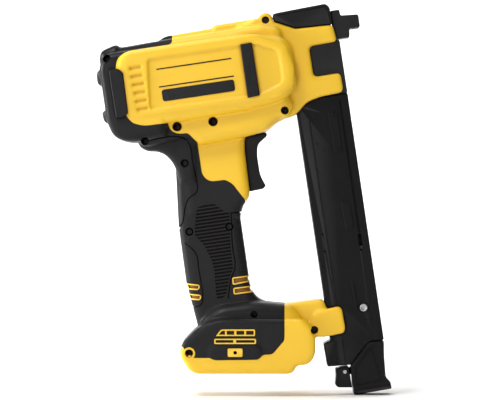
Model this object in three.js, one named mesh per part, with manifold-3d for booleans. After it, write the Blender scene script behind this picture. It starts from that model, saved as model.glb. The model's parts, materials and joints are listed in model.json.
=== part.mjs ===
// A bare cordless stapler of the brad nailer family: a flywheel drive in a leaning barrel, a pistol grip, a battery
// foot, and a long magazine that hangs from the nose and is tied to the foot by an arm.
// Millimetres, +Z up, +X towards the nose, +Y to the tool's left.
import * as THREE from "three";
import { mergeVertices } from "three/addons/utils/BufferGeometryUtils.js";
import Module from "manifold-3d";

const wasm = await Module();
wasm.setup();

// ---- Driving dimensions ------------------------------------------------------------------------------------
const LEAN = THREE.MathUtils.degToRad(8.4); // the barrel and the drive line point up by this angle
const DRIVE_ORIGIN = { x: 58, z: 288 }; // where the drive line crosses the middle of the magazine
const GAP = 0.3; // between pieces that touch
const SKIN = 2; // thickness of the rubber and of the rear cap where they wrap the shells
const WALL = 4.3; // outer face to cavity
const BARREL_HALF = 36;
const CROWN_HALF = 27;
const RIDGE_HALF = 15;
const PANEL_HALF = 38;
const BUMPER_HALF = 39.5;
const BELLY_HALF = 29;
const FRONT_HALF = 20;
const NECK_HALF = 21;
const GRIP_HALF = 18;
const FOOT_HALF = 37;
const TRIGGER_HALF = 9.5;
const SOFT = 3.5; // a corner with a larger radius than this gets a middle point
const PIN_HALF = 15; // half the length of the trigger's pin
const MAGAZINE_HALF = 14;
const MAGAZINE_BACK = -20.9;
const MAGAZINE_FRONT = 23.6;
const TRAY_HALF = 10.2;
const TRAY_BACK = -17.2;
const TRAY_FRONT = 20.2;
const NOSE_BOTTOM = -58; // the magazine's body starts under the nose frame here
const STAPLE_HALF = 7.6; // half the width that a staple's crown needs
const SCREW = { seat: 10, head: 2.6, headRadius: 2.9, shank: 1.6, tip: 8, bore: 1.9, boss: 5 };
const FLYWHEEL = { u: -100, w: -30.8, radius: 25, half: 7 };
const BEARING = { inner: 5, outer: 9, from: 20, to: 26 };
const ROD = { y: 10, w: -1.2, radius: 1.5, back: -155, front: -31 };
const CARRIER = { back: -140, front: -88 };
const BLADE_TIP = -8;
const CRADLE_PIVOT = { u: -152, w: -54 };
const TRIGGER_PIVOT = { x: 2, z: 196 };
const LATCH_PIVOT = { u: -12.5, w: -289 };
const BAY = { back: -60, front: 40, half: 31, mouthHalf: 27, lip: 4.2, ceiling: 14, floor: 18 };

// ---- Frames ------------------------------------------------------------------------------------------------
// The foot frame has its origin in the plane of the foot's underside, between its ends. The drive frame leans with
// the barrel: u runs forwards along the drive line, w runs up the magazine, and y is shared.
const driveFrame = new THREE.Matrix4()
  .makeTranslation(DRIVE_ORIGIN.x, 0, DRIVE_ORIGIN.z)
  .multiply(new THREE.Matrix4().makeRotationY(-LEAN));

// ---- Solids ------------------------------------------------------------------------------------------------
function solid(geometry, frame) {
  const bare = geometry.index ? geometry.toNonIndexed() : geometry.clone();
  bare.deleteAttribute("normal");
  bare.deleteAttribute("uv");
  if (frame) bare.applyMatrix4(frame);
  const merged = mergeVertices(bare);
  return new wasm.Manifold(
    new wasm.Mesh({
      numProp: 3,
      vertProperties: merged.attributes.position.array,
      triVerts: new Uint32Array(merged.index.array),
    }),
  );
}

function joined(...solids) {
  return solids.reduce((whole, next) => whole.add(next));
}

function less(whole, ...tools) {
  return tools.reduce((rest, tool) => rest.subtract(tool), whole);
}

function geometryOf(made) {
  const mesh = made.getMesh();
  const geometry = new THREE.BufferGeometry();
  geometry.setAttribute("position", new THREE.BufferAttribute(mesh.vertProperties, 3));
  geometry.setIndex(new THREE.BufferAttribute(mesh.triVerts, 1));
  return geometry;
}

// An outline is a list of corners [x, z] or [x, z, radius]. This gives its points.
function pointsOf(corners) {
  const count = corners.length;
  return corners.flatMap(([x, z, radius = 0], i) => {
    const here = new THREE.Vector2(x, z);
    if (radius === 0) return [here];
    const before = new THREE.Vector2(...corners[(i + count - 1) % count].slice(0, 2));
    const after = new THREE.Vector2(...corners[(i + 1) % count].slice(0, 2));
    const reach = Math.min(radius, here.distanceTo(before) * 0.45, here.distanceTo(after) * 0.45);
    const start = here.clone().add(before.sub(here).setLength(reach));
    const end = here.clone().add(after.sub(here).setLength(reach));
    if (radius <= SOFT) return [start, end];
    const middle = here.clone().multiplyScalar(0.5).addScaledVector(start, 0.25).addScaledVector(end, 0.25);
    return [start, middle, end];
  });
}

// The same outline with each side moved inwards by a distance.
function inset(corners, distance) {
  const flat = corners.map(([x, z]) => new THREE.Vector2(x, z));
  const turn = Math.sign(THREE.ShapeUtils.area(flat));
  const count = corners.length;
  const sides = flat.map((start, i) => {
    const along = flat[(i + 1) % count].clone().sub(start).normalize();
    const inward = new THREE.Vector2(-along.y, along.x).multiplyScalar(turn * distance);
    return { start: start.clone().add(inward), along };
  });
  return corners.map(([, , radius = 0], i) => {
    const { start: p, along: d } = sides[(i + count - 1) % count];
    const { start: q, along: e } = sides[i];
    const cross = d.x * e.y - d.y * e.x;
    const t = ((q.x - p.x) * e.y - (q.y - p.y) * e.x) / cross;
    const least = radius > SOFT ? SOFT + 0.1 : 0.4; // so that both outlines have the same number of points
    const kept = radius === 0 ? 0 : Math.max(least, radius - distance);
    return [p.x + d.x * t, p.y + d.y * t, kept];
  });
}

// An outline carried across the tool from y0 to y1, with the edges of its two faces chamfered by bevel.
function slab(corners, y0, y1, { bevel = 0, frame } = {}) {
  const full = pointsOf(corners);
  const small = bevel ? pointsOf(inset(corners, bevel)) : [...full];
  if (THREE.ShapeUtils.area(full) < 0) {
    full.reverse();
    small.reverse();
  }
  const layers = bevel ? [y0, y0 + bevel, y1 - bevel, y1] : [y0, y1];
  const rings = layers.map((y, i) => {
    const ring = i === 0 || i === layers.length - 1 ? small : full;
    return ring.map((point) => [point.x, y, point.y]);
  });
  const count = full.length;
  const last = (rings.length - 1) * count;
  const faces = [];
  for (const [a, b, c] of THREE.ShapeUtils.triangulateShape(small, [])) {
    faces.push([a, b, c], [last + c, last + b, last + a]);
  }
  for (let ring = 0; ring < last; ring += count) {
    for (let i = 0; i < count; i++) {
      const next = (i + 1) % count;
      faces.push([ring + i, ring + count + i, ring + count + next]);
      faces.push([ring + i, ring + count + next, ring + next]);
    }
  }
  const geometry = new THREE.BufferGeometry();
  geometry.setAttribute("position", new THREE.Float32BufferAttribute(rings.flat(2), 3));
  geometry.setIndex(faces.flat());
  return solid(geometry, frame);
}

function box(x0, x1, y0, y1, z0, z1, frame) {
  const geometry = new THREE.BoxGeometry(x1 - x0, y1 - y0, z1 - z0);
  geometry.translate((x0 + x1) / 2, (y0 + y1) / 2, (z0 + z1) / 2);
  return solid(geometry, frame);
}

// A round bar across the tool.
function crossBar(x, z, radius, y0, y1, { frame, sides = 12 } = {}) {
  const geometry = new THREE.CylinderGeometry(radius, radius, y1 - y0, sides);
  geometry.translate(x, (y0 + y1) / 2, z);
  return solid(geometry, frame);
}

// A round bar along the first axis, at height z.
function longBar(x0, x1, y, z, radius, sides = 10) {
  const geometry = new THREE.CylinderGeometry(radius, radius, x1 - x0, sides);
  geometry.rotateZ(Math.PI / 2).translate((x0 + x1) / 2, y, z);
  return solid(geometry);
}

// A round bar up the last axis.
function upBar(x, y, radius, z0, z1, sides = 14) {
  const geometry = new THREE.CylinderGeometry(radius, radius, z1 - z0, sides);
  geometry.rotateX(Math.PI / 2).translate(x, y, (z0 + z1) / 2);
  return solid(geometry);
}

// A turned piece about a cross axis. Its profile is a closed list of [radius, y], listed clockwise.
function turned(profile, x, z, sides = 20) {
  const points = [...profile, profile[0]].map(([radius, y]) => new THREE.Vector2(radius, y)).reverse();
  return solid(new THREE.LatheGeometry(points, sides).translate(x, 0, z));
}

class Helix extends THREE.Curve {
  constructor(radius, length, turns) {
    super();
    Object.assign(this, { radius, length, turns });
  }
  getPoint(t, target = new THREE.Vector3()) {
    const angle = t * this.turns * 2 * Math.PI;
    return target.set(t * this.length, this.radius * Math.cos(angle), this.radius * Math.sin(angle));
  }
}

// A coil spring lying along the first axis from x0 to x1.
function coil(x0, x1, y, z, radius, wire, turns) {
  const corners = 4;
  const section = new THREE.Shape();
  for (let i = 0; i < corners; i++) {
    const angle = (i / corners) * 2 * Math.PI;
    section[i ? "lineTo" : "moveTo"]((wire / 2) * Math.cos(angle), (wire / 2) * Math.sin(angle));
  }
  const path = new Helix(radius - wire / 2, x1 - x0 - wire, turns);
  const geometry = new THREE.ExtrudeGeometry(section, { steps: turns * 7, extrudePath: path });
  return solid(geometry.translate(x0 + wire / 2, y, z));
}

// ---- Finishes ----------------------------------------------------------------------------------------------
const finishes = {
  yellow: { color: 0xf2c12e, roughness: 0.42, metalness: 0 },
  rubber: { color: 0x2b2c2e, roughness: 0.8, metalness: 0 },
  black: { color: 0x1c1c1e, roughness: 0.5, metalness: 0 },
  blackSteel: { color: 0x1b1b1c, roughness: 0.4, metalness: 0.7 },
  steel: { color: 0xa8abb0, roughness: 0.32, metalness: 0.9 },
  brass: { color: 0xc09a4a, roughness: 0.35, metalness: 0.9 },
  aluminium: { color: 0xb9bcc0, roughness: 0.45, metalness: 0.85 },
  board: { color: 0x1f5a36, roughness: 0.55, metalness: 0 },
};

const tool = new THREE.Group(); // the foot frame
const drive = new THREE.Group(); // the drive frame
drive.applyMatrix4(driveFrame);
tool.add(drive);

function part(group, name, made, finish) {
  const mesh = new THREE.Mesh(geometryOf(made), new THREE.MeshStandardMaterial(finishes[finish]));
  mesh.name = name;
  group.add(mesh);
}

// ---- The body's volumes ------------------------------------------------------------------------------------
// Each volume is an outline and a half width. The outer face, the shell's face under the rubber and the cavity
// are the same volumes moved inwards.
const barrelOutline = [
  [-24, -5, 4], [-18, -13, 4], [-18, -47, 6], [-29, -57, 6], [-60, -61], [-128, -62.5], [-131, -73.5],
  [-160, -74, 5], [-174, -68, 6], [-178, -54, 4], [-178, -8, 4], [-171, 2.5, 5], [-60, 1.5],
];
const crownOutline = [[-24, 3, 3], [-40, 8], [-112, 7], [-158, 6], [-170, 7, 4], [-176, 0, 3], [-176, -30], [-24, -30]];
const ridgeOutline = [[-30, 12.8], [-40, 14], [-112, 10.8], [-130, 6.6], [-140, -20], [-30, -20]];
const frontOutline = [
  [-44, 14], [-30, 9.5], [-11.8, 0.6], [19.4, -0.6, 2.5], [21, -14.9, 2.5], [-2.7, -15.5, 3], [-2.6, -41.5, 3],
  [20, -41.2, 2.5], [20.4, -57.6, 3], [-2, -58.7, 4], [-12.6, -62], [-23, -72, 4], [-36, -72.4, 4],
  [-47.5, -80.5], [-62, -82], [-62, 8],
];
const bellyOutline = [
  [-27, -50], [-22, -63, 3], [-28, -71, 4], [-37, -72], [-47, -79.5], [-60, -82], [-104, -84], [-114, -77],
  [-152, -79, 3], [-156, -70, 3], [-150, -60], [-128, -50],
];
const neckOutline = [
  [24, 216], [21, 203.5], [9, 201], [4, 196], [4, 186], [8.6, 147.5], [0.4, 136], [0.6, 128], [-45, 128],
  [-50, 170], [-45, 206],
];
const lugOutline = [
  [-35, 206], [-80, 201, 3], [-86.5, 191, 5], [-79, 184.6, 4], [-65, 184.6, 6], [-54, 174, 6], [-50, 159],
  [-35, 155],
];
const gripOutline = [
  [-54, 176], [-51.3, 122.5], [-45, 76], [-35, 38], [-20, 28], [20, 28], [30, 57.5], [16, 60.5, 5],
  [8.6, 72, 4], [0.4, 130], [6, 152], [2, 176],
];
const footOutline = [
  [-34, 40, 6], [-49.5, 24, 4], [-49.5, 14.5, 4], [-40, 0, 5], [44, 0, 3], [47, 7, 2], [58, 8, 6], [62.6, 15, 5],
  [62.6, 36, 6], [54, 45], [-18, 46, 6],
];
const armOutline = [
  [10, 57.5], [40, 57.5], [70, 61.3, 1.5], [73, 54.5, 1.5], [84.5, 56, 3], [88.4, 33.2, 3], [62, 29.3], [55, 18],
  [10, 18],
];
const volumes = [
  { outline: barrelOutline, half: BARREL_HALF, bevel: 5, frame: driveFrame },
  { outline: crownOutline, half: CROWN_HALF, bevel: 2, frame: driveFrame },
  { outline: ridgeOutline, half: RIDGE_HALF, bevel: 1.5, frame: driveFrame },
  { outline: frontOutline, half: FRONT_HALF, bevel: 1.5, frame: driveFrame },
  { outline: bellyOutline, half: BELLY_HALF, bevel: 3, frame: driveFrame },
  { outline: neckOutline, half: NECK_HALF, bevel: 2.5 },
  { outline: lugOutline, half: NECK_HALF, bevel: 3 },
  { outline: gripOutline, half: GRIP_HALF, bevel: 5 },
  { outline: footOutline, half: FOOT_HALF, bevel: 3 },
  { outline: armOutline, half: FRONT_HALF, bevel: 2 },
];

function body(depth, softened) {
  const slabs = volumes.map(({ outline, half, bevel, frame }) => {
    const edge = softened ? Math.max(1, bevel - depth / 2) : 0;
    return slab(inset(outline, depth), depth - half, half - depth, { bevel: edge, frame });
  });
  return joined(...slabs);
}

// ---- Where the yellow shell shows ---------------------------------------------------------------------------
const FAR = 60; // past the widest face on either side
const yellowBarrel = [
  [-113, 30], [-115, 2.3, 3], [-158, 1.6, 9], [-164.4, -9, 5], [-161.7, -54, 8], [-152, -61.6, 8], [-128, -62.1],
  [-127, -69, 4], [-120, -72.4, 4], [-113, -72.4, 2], [-106.3, -81.4], [-106.3, -100], [60, -100], [60, 30],
];
const yellowNeck = [
  [-35.3, 210], [-35.3, 192], [-31, 163, 6], [-24, 159.6, 5], [-12, 161, 5], [-6, 157.5, 3], [5, 143.4], [5, 140],
  [60, 140], [60, 210],
];
const yellowFoot = [
  [37.4, 90], [37, 28, 2], [27, 16.4, 2], [19, 16, 2], [15.5, 12, 2], [-21, 11.5, 2], [-25, 13.4], [-38, 13.4],
  [-48, 23], [-80, 23], [-80, -20], [120, -20], [120, 90],
];
const FOOT_SCREW = { x: -42, z: 17.2, ring: 5.9 };

function yellowRegion(extra) {
  return joined(
    slab(inset(yellowBarrel, -extra), -FAR, FAR, { frame: driveFrame }),
    slab(inset(yellowNeck, -extra), -FAR, FAR),
    slab(inset(yellowFoot, -extra), -FAR, FAR),
    crossBar(FOOT_SCREW.x, FOOT_SCREW.z, FOOT_SCREW.ring + extra, -FAR, FAR),
  );
}

// ---- Screws ------------------------------------------------------------------------------------------------
// The screws enter from the right. x and z are in the named frame; well is the radius of the hole to the head.
const screws = [
  { name: "top", u: -35.4, w: 10.6, well: 3.2 },
  { name: "front", u: -30.6, w: -65.8, well: 3.4 },
  { name: "motor_front", u: -90.9, w: -66.3, well: 4.2 },
  { name: "motor_rear", u: -121, w: -66.1, well: 4.2 },
  { name: "cap", u: -170.4, w: -2, well: 3.4 },
  { name: "lug", u: -149.2, w: -74.2, well: 3.4 },
  { name: "grip_top", x: -46, z: 174.7, well: 3.4 },
  { name: "grip_rear", x: -42.2, z: 117.6, well: 3.4 },
  { name: "grip_front", x: -8.8, z: 121.8, well: 3.4 },
  { name: "grip_base", x: 11.8, z: 49.1, well: 3 },
  { name: "foot_rear", x: FOOT_SCREW.x, z: FOOT_SCREW.z, well: 3.2 },
  { name: "arm", x: 62, z: 35.8, well: 3.4 },
].map((screw) => {
  const place = new THREE.Vector3(screw.u, 0, screw.w).applyMatrix4(driveFrame);
  return "u" in screw ? { ...screw, x: place.x, z: place.z } : screw;
});

const outer = body(0, true);
const topBoss = crossBar(-35.4, 10.6, 6.6, -17, 17, { frame: driveFrame, sides: 14 });
const footRing = crossBar(FOOT_SCREW.x, FOOT_SCREW.z, FOOT_SCREW.ring, -FOOT_HALF, FOOT_HALF);
const panelOutline = [
  [-163, -9, 4], [-157, 0.4, 5], [-46, 0.4, 5], [-22, -9, 5], [-17.6, -32], [-20, -47, 4], [-34, -55.4, 5],
  [-152, -55, 5], [-162, -50, 4],
];
const recessOutline = [[-137, -8], [-50, -8, 2], [-29, -16, 4], [-29, -43, 4], [-50, -49.6, 2], [-141, -49]];

function sidePair(corners, inner, outerFace, options) {
  return joined(slab(corners, -outerFace, -inner, options), slab(corners, inner, outerFace, options));
}

const panels = sidePair(panelOutline, 30, PANEL_HALF, { bevel: 1.5, frame: driveFrame });
const recesses = sidePair(recessOutline, PANEL_HALF - 1.3, PANEL_HALF + 3, { frame: driveFrame });
const armCheeks = sidePair([[-3, -44], [20, -43.5], [20.4, -55.4], [-3, -56]], 17, FRONT_HALF + 0.8, {
  bevel: 0.6,
  frame: driveFrame,
});
const envelope = joined(less(joined(outer, panels), recesses), topBoss, footRing, armCheeks);

// ---- The space inside --------------------------------------------------------------------------------------
const underBay = box(-80, BAY.front + 6, -FAR, FAR, -10, BAY.floor);
const mouth = joined(
  box(BAY.back, BAY.front, -BAY.mouthHalf, BAY.mouthHalf, -5, BAY.lip + 1),
  box(BAY.back, BAY.front, -BAY.half, BAY.half, BAY.lip, BAY.ceiling),
);
const bosses = joined(
  ...screws.map(({ x, z }) => crossBar(x, z, SCREW.boss, -FAR, FAR, { sides: 8 })),
);
const cavity = less(body(WALL, false), underBay, bosses);
const magazineChannel = box(
  MAGAZINE_BACK - GAP * 2, 60, -MAGAZINE_HALF - GAP, MAGAZINE_HALF + GAP, -340, 30, driveFrame,
);
const noseChannel = box(-29, 60, -MAGAZINE_HALF - GAP, MAGAZINE_HALF + GAP, -14, 30, driveFrame);
const triggerOutline = [
  [-8, 151], [8.4, 151.2], [19.5, 153.4, 1], [21.8, 156, 1], [17, 164.5, 2], [14.3, 182, 2], [15, 191, 3],
  [22.7, 197.6, 1], [22.3, 200.6, 1], [9, 198.6, 2], [-4, 201, 4], [-8, 190],
];
const triggerSlot = slab(
  [[-12, 149.5], [12, 150.6], [30, 153], [30, 201.6], [9, 199.4], [3, 205], [-12, 205]],
  -TRIGGER_HALF - 0.7, TRIGGER_HALF + 0.7,
);
const ventSlots = [0, 1, 2, 3, 4, 5].map((row) =>
  box(-153 + row * 0.3, -141 + row * 0.3, -FAR, FAR, -14.5 - row * 6.9, -12.3 - row * 6.9, driveFrame),
);
const footSlots = [
  [-19, -14.5, 32.6, 35], [-10.5, -4.5, 32.6, 36], [-1, 5, 32.6, 36], [8, 13, 32.6, 36], [-19.5, -5, 25.8, 28.4],
  [0, 13, 25.8, 28.4],
].map(([x0, x1, z0, z1]) => box(x0, x1, -FAR, FAR, z0, z1));

const TERMINAL = { half: 19.5, back: 23, front: 38.6, low: 5.5 };
const HOOK = { back: -10, front: 2.4, low: 14.4, high: 21.4, inner: 34 };
const hookPockets = joined(
  box(HOOK.back - GAP, HOOK.front + GAP, -FAR, -HOOK.inner + GAP, HOOK.low - GAP, HOOK.high + GAP),
  box(HOOK.back - GAP, HOOK.front + GAP, HOOK.inner - GAP, FAR, HOOK.low - GAP, HOOK.high + GAP),
);
const sideBumperOutline = [[-59.3, -7, 1], [-49.8, -6.8, 1], [-49.6, -50.6, 1], [-59.5, -51.4, 1]];
const cornerBumperOutline = [
  [-170, -12, 1], [-162.5, -12, 2], [-158.6, -16, 3], [-159.4, -49, 3], [-163, -52.2, 2], [-169.2, -52, 1],
];
const bumperSeat = 34;

function bumperPocket(corners) {
  return sidePair(inset(corners, -GAP), bumperSeat - GAP, FAR, { frame: driveFrame });
}

const bumperPockets = joined(bumperPocket(sideBumperOutline), bumperPocket(cornerBumperOutline));
const wells = joined(
  ...screws.map(({ x, z, well }) => crossBar(x, z, well, -FAR, -SCREW.seat, { sides: 10 })),
);
const bores = joined(
  ...screws.map(({ x, z }) => crossBar(x, z, SCREW.bore, -SCREW.seat - 1, SCREW.tip + 1, { sides: 8 })),
);
const pinBore = crossBar(TRIGGER_PIVOT.x, TRIGGER_PIVOT.z, 1.9, -PIN_HALF - GAP, PIN_HALF + GAP, { sides: 8 });
const openings = joined(
  cavity, mouth, magazineChannel, noseChannel, triggerSlot, hookPockets, bumperPockets, ...ventSlots, ...footSlots,
  wells, bores, pinBore,
);

// ---- Shells, rubber and rear cap ---------------------------------------------------------------------------
const rightSide = box(-300, 300, -FAR, -GAP / 2, -100, 500);
const leftSide = box(-300, 300, GAP / 2, FAR, -100, 500);
const core = body(SKIN + GAP, true);
const shells = less(joined(core, envelope.intersect(yellowRegion(0))), openings);
const capSpace = slab([[-220, 40], [-60, 40], [-60, -69.8], [-131, -69.8], [-220, -71.5]], -FAR, FAR, {
  frame: driveFrame,
});
const gripSpace = joined(
  slab([[-220, -70.1], [-131, -70.1], [-131, -60], [-60, -60], [-60, -330], [-220, -330]], -FAR, FAR, {
    frame: driveFrame,
  }),
  box(-80, 60, -FAR, FAR, -5, 190),
);
// Slots through the rubber that show the yellow shell: two at the back of the grip and two at its front.
const ACCENT_HEIGHT = 3.4;
const accentSlots = [
  [-70, 73.4, -34.6, 69.8], [-70, 65.2, -32.8, 61.6], [-6, 76.8, 40, 79.6], [-5.4, 67.6, 40, 71],
].map(([back, backLow, front, frontLow]) => slab(
  [[back, backLow], [front, frontLow], [front, frontLow + ACCENT_HEIGHT], [back, backLow + ACCENT_HEIGHT]],
  -FAR, FAR,
));
const hookPlate = [
  [-25, 13.6], [-21, 11.8, 2], [15, 12.3, 2], [18.4, 16], [17.4, 22, 2], [13.6, 24.2, 2], [-22, 24.2, 2],
  [-25.5, 20],
];
const skin = less(envelope, body(SKIN, true), yellowRegion(GAP));
const rearLugs = joined(
  slab([[-174, -9.6], [-178.6, -9.6], [-181.3, -12.4], [-181.5, -21], [-179, -23.4], [-174, -23.4]], -24, 24, {
    bevel: 1, frame: driveFrame,
  }),
  slab([[-174, -44.4], [-181.5, -44.4], [-180.7, -53.4], [-177, -55], [-174, -54]], -24, 24, {
    bevel: 1, frame: driveFrame,
  }),
);
const rubber = less(
  joined(skin.intersect(gripSpace), sidePair(hookPlate, FOOT_HALF - SKIN, FOOT_HALF + 1.2, { bevel: 0.6 })),
  openings, capSpace, ...accentSlots,
);
const rearCap = less(
  joined(skin.intersect(capSpace), less(rearLugs, body(SKIN, true))),
  openings, yellowRegion(GAP),
);

part(tool, "housing_right", shells.intersect(rightSide), "yellow");
part(tool, "housing_left", shells.intersect(leftSide), "yellow");
part(tool, "grip_overmould_right", rubber.intersect(rightSide), "rubber");
part(tool, "grip_overmould_left", rubber.intersect(leftSide), "rubber");
part(tool, "rear_cap", rearCap, "black");

// The rubber strips on the panels and the blocks at the rear corners.
for (const [side, y0, y1] of [["right", -BUMPER_HALF, -bumperSeat], ["left", bumperSeat, BUMPER_HALF]]) {
  part(drive, `side_bumper_${side}`, slab(sideBumperOutline, y0, y1, { bevel: 0.8 }), "rubber");
  part(drive, `corner_bumper_${side}`, slab(cornerBumperOutline, y0, y1, { bevel: 0.8 }), "rubber");
}

// Threaded inserts for a belt hook, one on each side of the foot.
for (const [side, y0, y1] of [["right", -FOOT_HALF - 1, -HOOK.inner], ["left", HOOK.inner, FOOT_HALF + 1]]) {
  const block = box(HOOK.back, HOOK.front, y0, y1, HOOK.low, HOOK.high);
  const hole = crossBar(-3.8, 17.9, 1.5, y0 - 1, y1 + 1);
  part(tool, `hook_insert_${side}`, less(block, hole), "yellow");
}

for (const { name, x, z } of screws) {
  const head = crossBar(x, z, SCREW.headRadius, -SCREW.seat - SCREW.head, -SCREW.seat - GAP, { sides: 10 });
  const shank = crossBar(x, z, SCREW.shank, -SCREW.seat - 1, SCREW.tip, { sides: 6 });
  part(tool, `screw_${name}`, joined(head, shank), "blackSteel");
}

// ---- Nose --------------------------------------------------------------------------------------------------
const bladeWay = box(-60, 60, -6.9, 6.9, -1.3, 1.3);
const TRIP = { back: 19.6, tip: 42.2, travel: 6, stemHalf: 4, stemLow: 8.4, stemHigh: 11.6, stemBack: -14 };
const noseOutline = [
  [-28.7, -12], [-21, -12], [-20.9, NOSE_BOTTOM], [23.6, NOSE_BOTTOM], [23.4, -13.6], [12.6, -13.6], [12.6, 7.6],
  [-28.7, 7.6],
];
const noseFrame = less(
  slab(noseOutline, -MAGAZINE_HALF, MAGAZINE_HALF, { bevel: 0.5 }),
  bladeWay,
  box(-8, 18.6, -STAPLE_HALF, STAPLE_HALF, NOSE_BOTTOM - 1, 1.3),
);
const contactTrip = less(
  joined(
    slab([[TRIP.back, -12.7], [32.2, -12.7], [33.2, -5.6], [TRIP.tip, -5.6], [TRIP.tip, 5.4], [27.4, 6.6],
      [27, 11.6], [TRIP.back, 11.6]], -10, 10, { bevel: 0.6 }),
    box(TRIP.stemBack, TRIP.back + 1, -TRIP.stemHalf, TRIP.stemHalf, TRIP.stemLow, TRIP.stemHigh),
  ),
  bladeWay,
  box(35, 60, -4.4, 4.4, -20, 20),
);
part(drive, "nose_frame", noseFrame, "blackSteel");
part(drive, "contact_trip", contactTrip, "blackSteel");
part(drive, "trip_spring", coil(-26, TRIP.stemBack - GAP, 0, 10.4, 2.5, 0.8, 5), "steel");
const coverOutline = [
  [-29, 15.2], [16.2, 17.7, 2], [19, 14], [19.2, 0], [-11.4, 1.2], [-27.6, 8.9],
];
const coverWell = joined(
  box(-28, 30, -MAGAZINE_HALF - GAP, MAGAZINE_HALF + GAP, -5, 12.3),
  box(-40, 30, -TRIP.stemHalf - 1, TRIP.stemHalf + 1, 5, 13.4),
);
part(
  drive, "top_cover",
  less(slab(coverOutline, -FRONT_HALF + 1.5, FRONT_HALF - 1.5, { bevel: 1.5 }), coverWell,
    crossBar(-35.4, 10.6, 6.9, -FAR, FAR, { sides: 20 })),
  "black",
);

// ---- Magazine ----------------------------------------------------------------------------------------------
const magazineOutline = [
  [MAGAZINE_BACK, NOSE_BOTTOM - GAP], [MAGAZINE_FRONT, NOSE_BOTTOM - GAP], [MAGAZINE_FRONT, -267.2],
  [10.8, -266.2, 4], [-7, -283.6], [-26.4, -282.4], [-26.8, -262.8], [MAGAZINE_BACK, -261],
];
const sideRidges = sidePair([[-11.7, -77], [-10.9, -77], [-10.9, -224], [-11.7, -224]], 13.5, MAGAZINE_HALF + 0.5);
const sideGrooves = sidePair([[15.4, -62], [17.4, -62], [17.4, -176], [15.4, -176]], MAGAZINE_HALF - 0.8, 20);
const humps = sidePair([[5.8, -146, 1], [9.4, -147, 1], [9.4, -236, 1], [5.8, -236, 1]], 13.5, MAGAZINE_HALF + 0.6, {
  bevel: 0.4,
});
const trayWay = box(
  TRAY_BACK - GAP, TRAY_FRONT + GAP, -TRAY_HALF - GAP, TRAY_HALF + GAP, -300, NOSE_BOTTOM + 1,
);
const MAGAZINE_SCREW = { u: 12, w: -243 };
part(
  drive, "magazine_body",
  less(
    joined(slab(magazineOutline, -MAGAZINE_HALF, MAGAZINE_HALF, { bevel: 1.2 }), sideRidges, humps),
    sideGrooves, trayWay, crossBar(MAGAZINE_SCREW.u, MAGAZINE_SCREW.w, 1.8, -20, -5),
  ),
  "black",
);
part(
  drive, "magazine_screw",
  joined(
    crossBar(MAGAZINE_SCREW.u, MAGAZINE_SCREW.w, 2.9, -MAGAZINE_HALF - 1.6, -MAGAZINE_HALF - GAP, { sides: 16 }),
    crossBar(MAGAZINE_SCREW.u, MAGAZINE_SCREW.w, 1.5, -MAGAZINE_HALF - 1, -TRAY_HALF - 0.6, { sides: 10 }),
  ),
  "steel",
);
const TRAY = { top: NOSE_BOTTOM - 1, bottom: -265.4, floor: -258, channelBack: -14, channelHalf: 8 };
part(
  drive, "magazine_tray",
  less(
    box(TRAY_BACK, TRAY_FRONT, -TRAY_HALF, TRAY_HALF, TRAY.bottom, TRAY.top),
    box(TRAY.channelBack, 40, -TRAY.channelHalf, TRAY.channelHalf, TRAY.floor, 0),
  ),
  "steel",
);
const PUSHER = { top: -62, bottom: -84, front: 17, half: 7.6 };
const ROLL = { u: -2, w: -73, radius: 5.4, half: 5.2 }; // the pocket for the rolled strip spring
part(
  drive, "pusher",
  less(
    box(TRAY.channelBack + GAP, PUSHER.front, -PUSHER.half, PUSHER.half, PUSHER.bottom, PUSHER.top),
    crossBar(ROLL.u, ROLL.w, ROLL.radius, -ROLL.half, ROLL.half, { sides: 16 }),
    box(ROLL.u - ROLL.radius, 30, -ROLL.half, ROLL.half, ROLL.w - ROLL.radius, ROLL.w + ROLL.radius),
  ),
  "black",
);
part(
  drive, "pusher_spring",
  less(
    crossBar(ROLL.u, ROLL.w, ROLL.radius - 0.4, -ROLL.half + 0.4, ROLL.half - 0.4, { sides: 16 }),
    crossBar(ROLL.u, ROLL.w, 2, -ROLL.half - 1, ROLL.half + 1, { sides: 10 }),
  ),
  "steel",
);
const endOutline = [
  [23.4, -267.8], [10.8, -266.8, 4], [-7, -284.3], [-7.9, -309], [24, -308.3], [23.8, -302.7], [20.5, -298],
  [21.8, -280],
];
const latchBore = crossBar(LATCH_PIVOT.u, LATCH_PIVOT.w, 1.8, -20, 20);
const endGrip = less(
  joined(slab(endOutline, -MAGAZINE_HALF, MAGAZINE_HALF, { bevel: 1 }), box(-15, -6, -4.2, 4.2, -292, -286)),
  box(TRAY_BACK, TRAY_FRONT + GAP, -TRAY_HALF - GAP, TRAY_HALF + GAP, TRAY.bottom - GAP, -200),
  latchBore,
);
part(drive, "end_grip", endGrip, "black");
const latchOutline = [
  [-19.4, -288.6, 1], [-14.6, -285.4, 2], [-9.4, -285.4, 2], [-8.3, -302.8], [-20.4, -301, 2], [-22, -298.4],
  [-20.1, -290],
];
part(
  drive, "magazine_latch",
  less(slab(latchOutline, -10, 10, { bevel: 0.5 }), latchBore, box(-16.5, -5, -4.6, 4.6, -295, -280)),
  "black",
);
part(drive, "latch_pin", crossBar(LATCH_PIVOT.u, LATCH_PIVOT.w, 1.5, -9.6, 9.6), "steel");

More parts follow.
